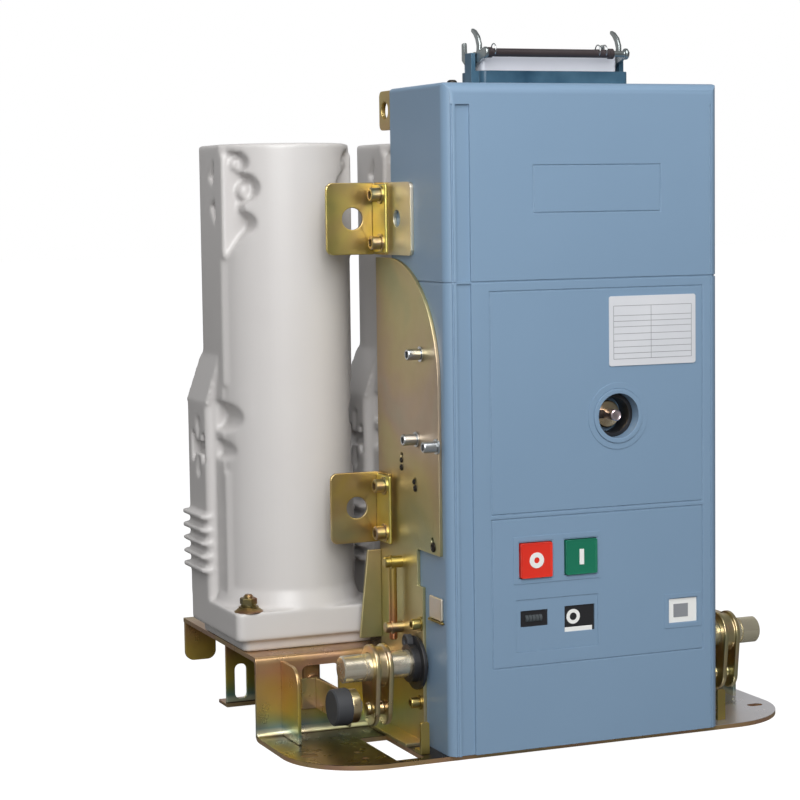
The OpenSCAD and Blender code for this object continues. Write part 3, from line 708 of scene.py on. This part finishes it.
def low_nut(name, radius):
    """A flat nut on a thin washer with its screw's end, standing on the frame's origin."""
    flat = washer(radius * 1.9, 0, 1.2, radius * 0.1, 40)
    head = hexagon("head", radius * 3, 2.4, 1.2)
    screw = turned("screw", ORIGIN, UP, [(3.0, radius), (4.0, radius), (4.5, radius - 0.8)], 32)
    return shade(join(name, flat, head, screw), 40)


BIG_BOLT = hex_bolt("big_bolt", 8)
LOW_NUT = low_nut("low_nut", 4)
PLATE_SCREW = cap_screw("plate_screw", 4.4, 8.5)
CAP_SCREW = cap_screw("cap_screw", 5.6, 9.5)
PIN_SCREW = cap_screw("pin_screw", 4.6, 12.5)
PAN_SCREW = pan_screw("pan_screw", 4.0)
MASTERS = [BIG_BOLT, LOW_NUT, PLATE_SCREW, CAP_SCREW, PIN_SCREW, PAN_SCREW]


def fasten(master, name, x, y, z, axis, material=None, body="frame"):
    """Places a copy of a fastener with its seat on a point."""
    piece = copy_of(master, name, spot(x, y, z), aim(axis))
    return finish(piece, material or BOLT_STEEL, body)


# ---- poles ----

pole_low, pole_high = reach("pole_left")
FOOT_SLAB = 10
POLE_START = Vector(((pole_low.x + pole_high.x) / 2, pole_low.y, pole_low.z + FOOT_SLAB))
TUBE_RADIUS = 57
TUBE_DEPTH = TUBE_RADIUS + 5
HEAD_FLOOR = 43
FOOT_FLOOR = 72
CUTTER_REACH = 76
OVERRUN = 8
TAPER_FOOT = 320
# Round hollows in the sides of head and foot: out from the middle, up, radius.
HEAD_BITES = [(50, 395, 9.5), (46, 374, 12.7), (46, 345, 10)]
FOOT_BITES = [(60, 183, 13), (60, 155, 9)]
# Drop-shaped hollows: depth, height and radius, then the depth and height of the tip.
DROPS = [(74, 381, 6.5, 64, 400), (70, 362, 6.5, 62, 343)]
# Bosses on the head's flat: out from the middle, up, rings.
BOSSES = [(37.5, 371.5, [(0, 8.5), (8, 8.2), (11, 7), (12.5, 4.5)]), (45, 394, [(0, 6), (6, 5.6), (8, 4)])]


def on_pole(out, deep, up):
    """A place right of the left pole's middle, behind its front and above its foot."""
    return spot(*(POLE_START + Vector((out, deep, up))))


def sleeve_tool(low, high, floor):
    """A block with a round hole that trims what stands out of the tube between two heights."""
    sleeve = side_block("sleeve", 1, (-CUTTER_REACH, CUTTER_REACH), (-OVERRUN, floor), (low, high),
                        POLE_START)
    core = turned("core", on_pole(0, TUBE_DEPTH, low - 5), UP,
                  [(0, TUBE_RADIUS + 0.2), (high - low + 10, TUBE_RADIUS + 0.2)], 96)
    return cut(sleeve, core)


def bite_tool(side, out, up, radius, floor):
    """A round cutter that runs back from the pole's front to a flat floor."""
    return turned("bite", on_pole(side * out, -OVERRUN, up), BACK,
                  [(0, radius), (floor + OVERRUN, radius)], 40)


def side_tool(side, inner, low, high):
    """A square cutter beside the tube, down to the floor of the head's flat."""
    return side_block("flat", side, (inner, CUTTER_REACH), (-OVERRUN, HEAD_FLOOR), (low, high), POLE_START)


def drop_tool(side, deep, up, radius, tip_deep, tip_up):
    """A cone along the pole's side that leaves a drop-shaped hollow."""
    start = on_pole(side * 58, deep, up)
    run = on_pole(side * 58, tip_deep, tip_up) - start
    return turned("drop", start, run.normalized(), [(0, radius), (run.length / MM, 0.4)], 32)


def pole_blank():
    """The left pole, cut to the flats, bites and hollows of its sides, ready to be moulded."""
    pole = worked_copy("pole_left", "resin_pole_left")
    cut(pole, sleeve_tool(306, 404.5, HEAD_FLOOR))
    cut(pole, sleeve_tool(136, 210, 53))
    for side in (-1, 1):
        weld(pole, side_block("filler", side, (48, 57.9), (54, 80), (336, 400), POLE_START))
        for bite in HEAD_BITES:
            cut(pole, bite_tool(side, *bite, HEAD_FLOOR))
        cut(pole, side_tool(side, 44, 338, 404))
        taper = side_tool(side, 38, TAPER_FOOT, 341)
        pick_faces(taper, lambda at, facing: facing.z < -0.9)
        bpy.ops.transform.resize(value=(0.6, 1, 1),
                                 center_override=on_pole(side * CUTTER_REACH, 0, TAPER_FOOT))
        end_edit()
        cut(pole, taper)
        for bite in FOOT_BITES:
            cut(pole, bite_tool(side, *bite, FOOT_FLOOR))
        for drop in DROPS:
            cut(pole, drop_tool(side, *drop))
        for out, up, rings in BOSSES:
            weld(pole, turned("boss", on_pole(side * out, HEAD_FLOOR + 4, up), FORWARD, rings, 32))
    return pole


def mould(pole):
    """Gives the blank the soft inner and outer corners of a casting."""
    skin = pole.modifiers.new("skin", "REMESH")
    skin.mode = "VOXEL"
    skin.voxel_size = 1.7 * MM
    apply_modifier(pole, skin)
    flow = pole.modifiers.new("flow", "SMOOTH")
    flow.factor = 0.5
    flow.iterations = 7
    apply_modifier(pole, flow)
    fewer = pole.modifiers.new("fewer", "DECIMATE")
    fewer.ratio = 0.45
    apply_modifier(pole, fewer)
    select_only(pole)
    bpy.ops.object.shade_smooth_by_angle(angle=math.radians(60))
    return pole


def make_poles():
    left = mould(pole_blank())
    start = reach("pole_left")[0].x
    for name in ("pole_middle", "pole_right"):
        twin = copy_of(left, "resin_" + name, RIGHT * (reach(name)[0].x - start) * MM)
        # The copy has the left pole's mark, which goes before its own is set.
        del twin["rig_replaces"]
        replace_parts(twin, name)
        finish(twin, POLE_RESIN)
    finish(left, POLE_RESIN)


def make_pole_bolts():
    """A bolt with a dished washer on each pole's foot."""
    for pole in POLES:
        low = reach("pole_" + pole)[0]
        x = low.x + 19
        y = low.y + 11
        seat = turned("foot_washer_" + pole, spot(x, y, low.z + 33.6), UP,
                      [(0, 12), (0.8, 12), (3.2, 9), (3.6, 8.4)])
        finish(shade(seat), FOOT_BRONZE)
        fasten(BIG_BOLT, "foot_bolt_" + pole, x, y, low.z + 37, UP, FOOT_BRONZE)


# ---- sheet steel ----

WEB_FRONT = reach("base_frame")[0].y + 126
SHEET = 4
FLOOR_CORNER = 65
FLOOR_HOLES = [(-181, 51), (-182, 31)]
LIP_WIDTH = 28.5
LIP_INSET = 0.5
BORE_RADIUS = 36
FLANK_FOOT = 16
# Fasteners on the side plates: behind the housing's front, up, and for studs the radius.
FLANK_PINS = [(44, 321), (55, 252), (14, 250)]
FLANK_STUDS = [(87, 232, 2.2), (87, 226, 2.6), (61, 217, 2.2), (59, 212, 2.8), (24, 169, 4.0)]
PLATE_SCREWS = [(52, 103), (56, 38)]


def bent_base():
    """The base, bent from one sheet: floor, web with windows, shelf with bores, and two rear lips."""
    low, high = reach("base_frame")
    web = WEB_FRONT
    rear = web + SHEET
    under = high.z - SHEET
    sheet = block("bent_base", (low.x, low.y, 0), (high.x, rear, SHEET))
    round_edges(sheet, lambda start, end: upright(start, end) and start.y < web, FLOOR_CORNER, 24)
    weld(sheet, block("wall", (low.x, web, 0), (high.x, rear, high.z)))
    weld(sheet, block("shelf", (low.x, web, under), high))
    for x in (low.x + LIP_INSET, high.x - LIP_INSET - LIP_WIDTH):
        lip = block("lip", (x, high.y - SHEET, 31), (x + LIP_WIDTH, high.y, high.z))
        weld(sheet, round_edges(lip, lambda start, end: runs_back(start, end) and start.z < 40, 8, 8))
    for y, z, radius in ((web, SHEET, 4), (rear, 0, 7), (web, high.z, 6), (rear, under, 3)):
        round_edges(sheet, lambda start, end: all(abs(at.y - y) + abs(at.z - z) < 0.1 for at in (start, end)),
                    radius, 6)
    soften(sheet, 0.35)
    cut(sheet, block("opening", (-163, 13, -1), (-139, 93, SHEET + 1)))
    for x in (low.x + 18, high.x - 18):
        slot = block("slot", (x - 7, 52.5, -1), (x + 7, 61.5, SHEET + 1))
        cut(sheet, round_edges(slot, upright, 4.4, 8))
    for x, y in FLOOR_HOLES:
        cut(sheet, turned("hole", spot(x, y, -1), UP, [(0, 3), (SHEET + 2, 3)], 32))
    for pole in POLES:
        corner, end = reach("pole_" + pole)
        x = (corner.x + end.x) / 2
        window = block("window", (x - 17, web - 2, 30), (x + 16, rear + 2, 60))
        cut(sheet, round_edges(window, runs_back, 5, 6))
        cut(sheet, turned("bore", spot(x, corner.y + TUBE_DEPTH, 60), UP,
                          [(0, BORE_RADIUS), (20, BORE_RADIUS)], 64))
    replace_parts(sheet, "base_frame")
    return finish(shade(sheet), BASE_STEEL)


def make_flanks():
    """The side plates with the step that clears the housing's screws, their tabs and their bent feet."""
    for side, name, _ in SIDES:
        plate = worked_copy("side_plate_" + name, "flank_" + name)
        cut(plate, side_block("step", side, (121, 142), (4, 58), (133, 163)))
        dress(plate, 0.5, SIDE_STEEL)
        softened("pad_plate_" + name, "flank_pad_" + name, PAD_STEEL, "zinc_steel", 0.4)
        tab = side_block("flank_tab_" + name, side, (121.4, 124), (12, 36), (111, 129))
        dress(tab, 1.1, PAD_STEEL, segments=3)
        # A dark strip under each tab paints the tab's shadow line.
        lip = side_block("flank_tab_shadow_" + name, side, (121.4, 124), (11, 39), (108.4, 110.6))
        dress(lip, 0.8, DARK_SHEET)
        low, high = reach("side_plate_" + name)
        wall = outer(side, low, high) - side * FLANK_FOOT
        foot = side_block("foot_tab_" + name, side, (0, 20), (high.y - 3, high.y), (78, 152), (wall, 0, 0))
        pick_faces(foot, lambda at, facing: facing.z > 0.9)
        bpy.ops.transform.resize(value=(0.6, 1, 1), center_override=spot(wall, high.y, 152))
        end_edit()
        dress(foot, 0.8, SIDE_STEEL)


def make_link_rod():
    """The rod beside the left side plate, between its two cross pins."""
    low, high = reach("tie_rod")
    middle = (low + high) / 2
    rod = turned("link_rod", spot(middle.x, middle.y, low.z - 4), UP,
                 [(0, 2.6), (1, 3.4), (high.z - low.z - 2, 3.4)])
    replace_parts(rod, "tie_rod")
    finish(shade(rod), ROD_METAL)
    for name, z, material in (("top", high.z - 6, BRASS), ("foot", low.z + 6, BOLT_STEEL)):
        pin = turned("link_pin_" + name, spot(low.x, middle.y, z), RIGHT,
                     [(0, 3.4), (0.7, 4.4), (4.6, 4.4), (4.8, 5.8), (6.6, 5.8), (6.8, 5.0), (15, 5.0)])
        finish(shade(pin), material)


def make_back_screws():
    low, high = reach("rear_panel")
    for x in (low.x + 9, high.x - 9):
        for z in (low.z + 20, 200, 350, high.z - 52):
            fasten(PAN_SCREW, f"back_screw_{round(x)}_{round(z)}", x, high.y, z, BACK)


def make_window_backs():
    """Dark drive links behind the windows in the web."""
    for pole in POLES:
        low, high = reach("pole_" + pole)
        x = (low.x + high.x) / 2
        arm = block("drive_link_" + pole, (x - 13, WEB_FRONT + 9, 26), (x + 3, WEB_FRONT + 15, 66))
        begin_edit(arm)
        bpy.ops.mesh.bevel(offset=2.5 * MM, segments=3, affect="EDGES")
        end_edit()
        pin = turned("pin", spot(x - 5, WEB_FRONT + 6, 46), BACK, [(0, 4), (0.8, 5), (6, 5)], 32)
        finish(shade(join("drive_link_" + pole, arm, pin)), DARK_SHEET)


def make_side_bolts():
    """Straps and screws of the brackets and the side plates, alike on both sides."""
    for side, name, axis in SIDES:
        for level in ("upper", "lower"):
            low, high = reach(f"{level}_bracket_{name}")
            leg = outer(side, low, high) - side * 43
            strap = side_block(f"angle_strap_{level}_{name}", side, (0, 2.6), (low.y - 8, high.y - 3.2),
                               (low.z + 1.5, high.z - 1.5), (leg, 0, 0))
            # The strap's brighter gold is a painted highlight on the bent-back leg.
            dress(strap, 1.1, LIT_STRAP_STEEL, segments=3)
            for end, z in (("top", high.z - 10), ("foot", low.z + 10)):
                fasten(CAP_SCREW, f"angle_bolt_{level}_{name}_{end}", leg + side * 2.4, low.y + 2, z, axis)
        face = outer(side, *reach("side_plate_" + name)) - side * FLANK_FOOT
        # The right side shows low screws in place of the pins, and none nearest the front.
        master = PIN_SCREW if side < 0 else PAN_SCREW
        for i, (y, z) in enumerate(FLANK_PINS):
            if side < 0 or y > 20:
                fasten(master, f"flank_pin_{name}_{i}", face, y, z, axis, BRIGHT_STEEL)
        for i, (y, z) in enumerate(PLATE_SCREWS):
            fasten(PLATE_SCREW, f"plate_screw_{name}_{i}", face, y, z, axis, BRASS)
        for i, (y, z, radius) in enumerate(FLANK_STUDS):
            stud = turned(f"flank_stud_{name}_{i}", spot(face, y, z), axis,
                          [(0, radius), (0.8, radius), (1.2, radius * 0.8), (1.4, radius * 0.5),
                           (0.6, radius * 0.42)], 32)
            finish(shade(stud), DARK_HOLE)


# ---- drive housing ----

def make_cover_joint():
    """The strip behind the joint of the two covers."""
    low, high = reach("lower_cover")
    strip = block("cover_joint", (low.x + 0.9, 0.9, high.z - 0.5), (high.x - 0.9, high.y - 2, high.z + 1.6))
    round_edges(strip, lambda start, end: upright(start, end) and start.y < 5, 8.4, 10)
    finish(shade(strip), COVER_PAINT)


def surround(name, low, high, openings):
    """A thin raised frame on the cover, its corners and openings given as (x, z)."""
    plate = block(name, (low[0], -0.5, low[1]), (high[0], 0.2, high[1]))
    for start, end in openings:
        cut(plate, block("opening", (start[0], -2, start[1]), (end[0], 2, end[1])))
    dress(plate, 0.3, COVER_PAINT)


def make_buttons():
    """Push buttons with their plain raised marks."""
    surround("button_surround", (-66, 138), (11, 176), [((-62, 141), (-31, 172)), ((-22, 141), (9, 172))])
    for node, name, material, slot, body in (
            ("off_button", "off_key_cap", RED_PLASTIC, "button_red", "off_key"),
            ("on_button", "on_key_cap", GREEN_PLASTIC, "button_green", "on_key")):
        cap = worked_copy(node, name)
        pick_faces(cap, lambda at, facing: facing.y < -0.9)
        bpy.ops.mesh.inset(thickness=2.2 * MM, depth=0)
        bpy.ops.transform.translate(value=BACK * 0.5 * MM)
        end_edit()
        finish(shade(soften(cap, 0.4, 2, 50)), material, body)
    low, high = reach("off_button")
    middle = (low + high) / 2
    mark = ring("off_mark", spot(middle.x, low.y + 0.6, middle.z), FORWARD, 2.4, 6.3, 0.4)
    dress(mark, 0.08, WHITE_MARK, "off_key")
    low, high = reach("on_button")
    middle = (low + high) / 2
    bar = block("on_mark", (middle.x - 2, low.y + 0.2, middle.z - 6.3),
                (middle.x + 2, low.y + 0.7, middle.z + 6.3))
    dress(bar, 0.1, WHITE_MARK, "on_key")


def make_indicators():
    """The marks of the position flag and the spring window, and the counter's drums."""
    surround("spring_surround", (70, 91), (104, 119), [((73.6, 94.6), (100.4, 115.4))])
    low, high = reach("position_flag")
    centre = spot(low.x + 8.2, low.y, (low.z + high.z) / 2 + 1.5)
    finish(ring("flag_mark", centre, FORWARD, 3.1, 6.0, 0.15), WHITE_MARK)
    strip = block("flag_strip", (low.x, low.y - 0.4, low.z), (high.x - 2, low.y + 0.2, low.z + 3.6))
    dress(strip, 0.15, WHITE_MARK)
    low, high = reach("cycle_counter")
    for i in range(5):
        start = spot(low.x + 4.5 + i * 3, low.y + 1.0, (low.z + high.z) / 2)
        drum = turned(f"counter_drum_{i}", start, RIGHT,
                      [(0, 2.6), (0.3, 3.0), (2.4, 3.0), (2.7, 2.6)], 32)
        finish(shade(drum), WINDOW_GREY)
    low, high = reach("spring_flag")
    panel = block("spring_panel", (low.x + 4.5, low.y - 0.3, low.z + 4.5),
                  (high.x - 8, low.y + 0.2, high.z - 4.5))
    dress(panel, 0.15, PLATE_INK)


RULE_ROWS = [0.86, 0.72, 0.64, 0.56, 0.46, 0.36, 0.27, 0.18, 0.10]
RULE_MARGIN = 4


def make_plate_rules():
    """Plain ruled rows and columns on the white plate."""
    low, high = reach("data_plate")
    levels = [low.z + share * (high.z - low.z) for share in RULE_ROWS]
    left = low.x + RULE_MARGIN
    right = high.x - RULE_MARGIN
    front = low.y - 0.06
    rear = low.y + 0.05
    lines = [block("rule", (left, front, z - 0.22), (right, rear, z + 0.22)) for z in levels]
    for x in (left, low.x + 38, right):
        lines.append(block("rule", (x - 0.2, front, levels[-1]), (x + 0.2, rear, levels[0])))
    finish(join("plate_rules", *lines), PLATE_INK)


def make_crank_socket():
    """The hand crank's socket: a raised rim, a dark sleeve that paints the deep shade in the bore, a flange
    with its spindle, and a dark plate that paints the shade of its keyway.
    """
    low, high = reach("crank_shaft")
    x, _, z = (low + high) / 2
    rim = ring("crank_rim", spot(x, 0.1, z), FORWARD, 22.2, 27, 0.7, 64)
    dress(rim, 0.3, COVER_PAINT)
    # The black sleeve paints the deep shade inside the bore.
    sleeve = ring("crank_shade_sleeve", spot(x, high.y - 0.2, z), FORWARD, 14.6, 17.9, 17, 64)
    dress(sleeve, 0.6, BLACK_PLASTIC)
    flange = turned("crank_spindle", spot(x, high.y, z), FORWARD,
                    [(0, 10.4), (0.8, 11), (7.4, 11), (8.2, 10.2), (8.4, 4.6), (22.6, 4.6), (23.4, 3.8),
                     (22.4, 1.8)])
    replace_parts(flange, "crank_shaft")
    finish(shade(flange), CRANK_METAL, "crank")
    # A thin dark plate on the flange paints the shade in the keyway slot.
    key = block("crank_keyway_shade", (x - 10.6, high.y - 9, z - 3.4), (x - 3.5, high.y - 8, z + 3.4))
    dress(key, 0.3, DARK_HOLE, "crank")


# ---- connector on top ----

def make_latch_grip():
    """The latch's grip with its wire loops, and the screw beside the connector."""
    low, high = reach("lock_lever")
    bar = (low.y + 4.5, high.z - 20.5)
    grip = turned("latch_grip", spot(low.x + 1.5, *bar), RIGHT,
                  [(0, 3.4), (0.6, 4.2), (5, 4.2), (5.4, 3.3), (108, 3.3), (108.4, 4.2), (112, 4.2),
                   (112.6, 3.4)])
    finish(shade(grip), GRIP_BLACK, "connector_lock")
    for i, x in enumerate((low.x + 8, low.x + 100, low.x + 106)):
        loop = ring(f"latch_wire_{i}", spot(x, bar[0], bar[1] + 2.4), RIGHT, 4.0, 4.9, 0.9)
        dress(loop, 0.3, BRIGHT_STEEL, "connector_lock")
    low, high = reach("upper_cover")
    fasten(PAN_SCREW, "cover_screw", low.x + 16, 20, high.z, UP, DARK_HOLE)


# ---- switching shaft ----

GROOVE = 17


def make_shaft():
    """The switching shaft with a groove near each end, its bearings and their knobs."""
    low, high = reach("shaft")
    length = high.x - low.x
    radius = (high.z - low.z) / 2
    # One end's rings as (distance, how much smaller), used again from the other end.
    end = [(0, 1.2), (1.2, 0), (GROOVE, 0), (GROOVE + 0.2, 0.8), (GROOVE + 1.6, 0.8), (GROOVE + 1.8, 0)]
    rings = [(distance, radius - less) for distance, less in end]
    rings += [(length - distance, size) for distance, size in reversed(rings)]
    shaft = turned("switching_shaft", spot(low.x, low.y + radius, low.z + radius), RIGHT, rings, 64)
    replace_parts(shaft, "shaft")
    finish(shade(shaft), SHAFT_STEEL, "drive_shaft")
    for side, name, axis in SIDES:
        low, high = reach("bearing_" + name)
        middle = (low + high) / 2
        seat = spot(outer(-side, low, high) + side * 3, middle.y, middle.z)
        plate = soften(ring("plate", seat, axis, radius + 0.15, 22, 3.2, 64), 0.5)
        collar = soften(ring("collar", seat, axis, radius + 0.15, 15.5, 9, 64), 0.5)
        bearing = join("shaft_bearing_" + name, plate, collar)
        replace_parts(bearing, "bearing_" + name)
        finish(shade(bearing), BLACK_PLASTIC)
        knob = turned("bearing_knob_" + name, seat + (BACK * 7 + UP * 16) * MM, axis,
                      [(3, 6.5), (7.4, 6.5), (8.0, 5.8), (7.4, 3.6), (6.4, 3.4)], 40)
        finish(shade(knob), DARK_RUBBER)


def make_stop():
    """The rubber stop with its washers and its nut."""
    low, high = reach("rubber_stop")
    radius = (high.z - low.z) / 2
    y = low.y + radius
    z = low.z + radius
    length = high.x - low.x
    rubber = turned("stop_rubber", spot(low.x, y, z), RIGHT,
                    [(0, radius - 1.6), (1.2, radius - 0.3), (length - 2, radius), (length, radius - 1.0)])
    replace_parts(rubber, "rubber_stop")
    finish(shade(rubber), DARK_RUBBER)
    edge = reach("stop_bracket")[1].x
    washers = turned("stop_washers", spot(edge - 4, y, z), RIGHT,
                     [(0, 11.6), (0.3, 12), (1.1, 12), (1.4, 9.2), (2.3, 9.2), (2.6, 10.8), (3.4, 10.8),
                      (3.7, 10.2)])
    finish(shade(washers), SHAFT_STEEL)
    fasten(LOW_NUT, "stop_nut", edge, y, z, RIGHT, BRIGHT_STEEL)


# ---- pieces that keep the CAD model's shape and only get their edges broken ----

# CAD node, new name, material, slot and width of the rounding.
PLAIN_PIECES = [
    ("upper_terminals", "upper_contact_pads", TERMINAL_SILVER, "copper", 0.8),
    ("lower_terminals", "lower_contact_pads", TERMINAL_SILVER, "copper", 0.8),
    ("pole_drives", "pole_drive_heads", DARK_HOLE, "bright_steel", 0.8),
    ("front_gussets", "base_gussets", BASE_STEEL, "zinc_steel", 0.6),
    ("front_ears", "cover_angles", BRACKET_STEEL, "zinc_steel", 0.6),
    ("rear_panel", "back_sheet", SHEET_STEEL, "zinc_steel", 0.5),
    ("lifting_lugs", "lifting_eyes", SHEET_STEEL, "zinc_steel", 0.8),
    ("lower_cover", "front_lower_cover", COVER_PAINT, "cover_blue", 0.5),
    ("upper_cover", "front_upper_cover", COVER_PAINT, "cover_blue", 0.5),
    ("indicator_bezel", "indicator_surround", COVER_PAINT, "cover_blue", 0.3),
    ("cycle_counter", "counter_body", BLACK_PLASTIC, "black_plastic", 0.2),
    ("position_flag", "switch_flag", BLACK_PLASTIC, "black_plastic", 0.2),
    ("spring_flag", "spring_window", WHITE_MARK, "white_plate", 0.3),
    ("data_plate", "rating_plate", PLATE_WHITE, "white_plate", 0.25),
    ("connector_base", "socket_base", SOCKET_PAINT, "connector_blue", 0.6),
    ("connector_body", "socket_body", GREY_PLASTIC, "cast_aluminium", 0.6),
    ("connector_insert", "socket_insert", BLACK_PLASTIC, "black_plastic", 0.4),
    ("lock_lever", "socket_latch", LATCH_STEEL, "bright_steel", 1.0, 3, "connector_lock"),
    ("stop_bracket", "stop_arm", LEVER_STEEL, "zinc_steel", 0.7)]


def make_plain_pieces():
    for row in PLAIN_PIECES:
        softened(*row)
    for _, name, _ in SIDES:
        softened("frame_rib_" + name, "shelf_rib_" + name, BASE_STEEL, "zinc_steel", 0.6)
        softened("rear_leg_" + name, "bent_leg_" + name, BASE_STEEL, "zinc_steel", 0.6)
        softened("lever_" + name, "switch_lever_" + name, LEVER_STEEL, "zinc_steel", 1.0, 3, "drive_shaft")
        for level in ("upper", "lower"):
            softened(f"{level}_bracket_{name}", f"{level}_angle_{name}", BRACKET_STEEL, "zinc_steel", 0.8)


# ---- studio ----

def set_camera():
    """The camera stands left of the housing's front, a little above its middle, with a long lens."""
    yaw, pitch, roll = (math.radians(angle) for angle in (22.446, 5.156, -0.804))
    ahead = Vector((math.sin(yaw) * math.cos(pitch), math.cos(yaw) * math.cos(pitch), -math.sin(pitch)))
    level = Vector((math.cos(yaw), -math.sin(yaw), 0))
    above = level.cross(ahead)
    across = math.cos(roll) * level + math.sin(roll) * above
    top = math.cos(roll) * above - math.sin(roll) * level
    bpy.ops.object.camera_add()
    camera = bpy.context.object
    camera.name = "studio_camera"
    camera.data.lens = 100.95
    camera.data.sensor_width = 36
    camera.matrix_world = (Matrix.Translation(spot(-818.3, -1590.4, 444.9))
                           @ Matrix((across, top, -ahead)).transposed().to_4x4())
    bpy.context.scene.camera = camera


def add_softbox(name, place, target, width, height, power):
    """A large soft lamp that faces a point."""
    bpy.ops.object.light_add(type="AREA", location=place)
    lamp = bpy.context.object
    lamp.name = name
    lamp.data.shape = "RECTANGLE"
    lamp.data.size = width
    lamp.data.size_y = height
    lamp.data.energy = power
    lamp.rotation_euler = (Vector(target) - Vector(place)).to_track_quat("-Z", "Y").to_euler()


def floor_material():
    """A pale floor that looks white to the camera and throws back little light."""
    material = moulded("floor_white", (0.18, 0.18, 0.18), (0.20, 0.20, 0.20), 0.8)
    tree = material.node_tree
    bright = put(tree, "Emission", {"Color": WHITE, "Strength": 0.95})
    path = put(tree, "LightPath")
    shader = tree.nodes["Principled BSDF"]
    both = put(tree, "AddShader", {0: bright.outputs["Emission"], 1: shader.outputs["BSDF"]})
    mix = put(tree, "MixShader", {0: path.outputs["Is Camera Ray"], 1: shader.outputs["BSDF"],
                                  2: both.outputs["Shader"]})
    tree.links.new(mix.outputs["Shader"], tree.nodes["Material Output"].inputs["Surface"])
    return material


def set_studio():
    middle = (0, 0, 0.28)
    add_softbox("key_softbox", (-0.95, -2.3, 1.3), middle, 1.4, 1.4, 52)
    add_softbox("top_softbox", (-0.25, -0.9, 1.5), (0, -0.1, 0.4), 1.2, 0.7, 13)
    bpy.ops.mesh.primitive_plane_add(size=30, location=(0, 0, 0))
    floor = settle(bpy.context.object, "studio_floor")
    floor.data.materials.append(floor_material())
    world = bpy.data.worlds.new("studio")
    bpy.context.scene.world = world
    world.use_nodes = True
    tree = world.node_tree
    tree.nodes.clear()
    place = put(tree, "TexCoord")
    split = put(tree, "SeparateXYZ", {"Vector": place.outputs["Generated"]})
    glow = times(tree, spread(tree, split.outputs["Z"], 0.1, 0.9, 1.0, 0.5),
                 spread(tree, split.outputs["Y"], -0.8, 0.6, 0.16, 0.5))
    room = put(tree, "Background", {"Color": WHITE, "Strength": glow})
    seen = put(tree, "Background", {"Color": WHITE, "Strength": 1.0})
    path = put(tree, "LightPath")
    mix = put(tree, "MixShader", {0: path.outputs["Is Camera Ray"], 1: room.outputs["Background"],
                                  2: seen.outputs["Background"]})
    end = put(tree, "OutputWorld", {"Surface": mix.outputs["Shader"]})
    tree.nodes.active = end
    bpy.context.scene.view_settings.view_transform = "Standard"


for make in (make_poles, make_pole_bolts, bent_base, make_flanks, make_link_rod, make_back_screws,
             make_window_backs, make_side_bolts, make_cover_joint, make_buttons, make_indicators,
             make_plate_rules, make_crank_socket, make_latch_grip, make_shaft, make_stop, make_plain_pieces):
    make()
for master in MASTERS:
    bpy.data.objects.remove(master)
set_camera()
set_studio()
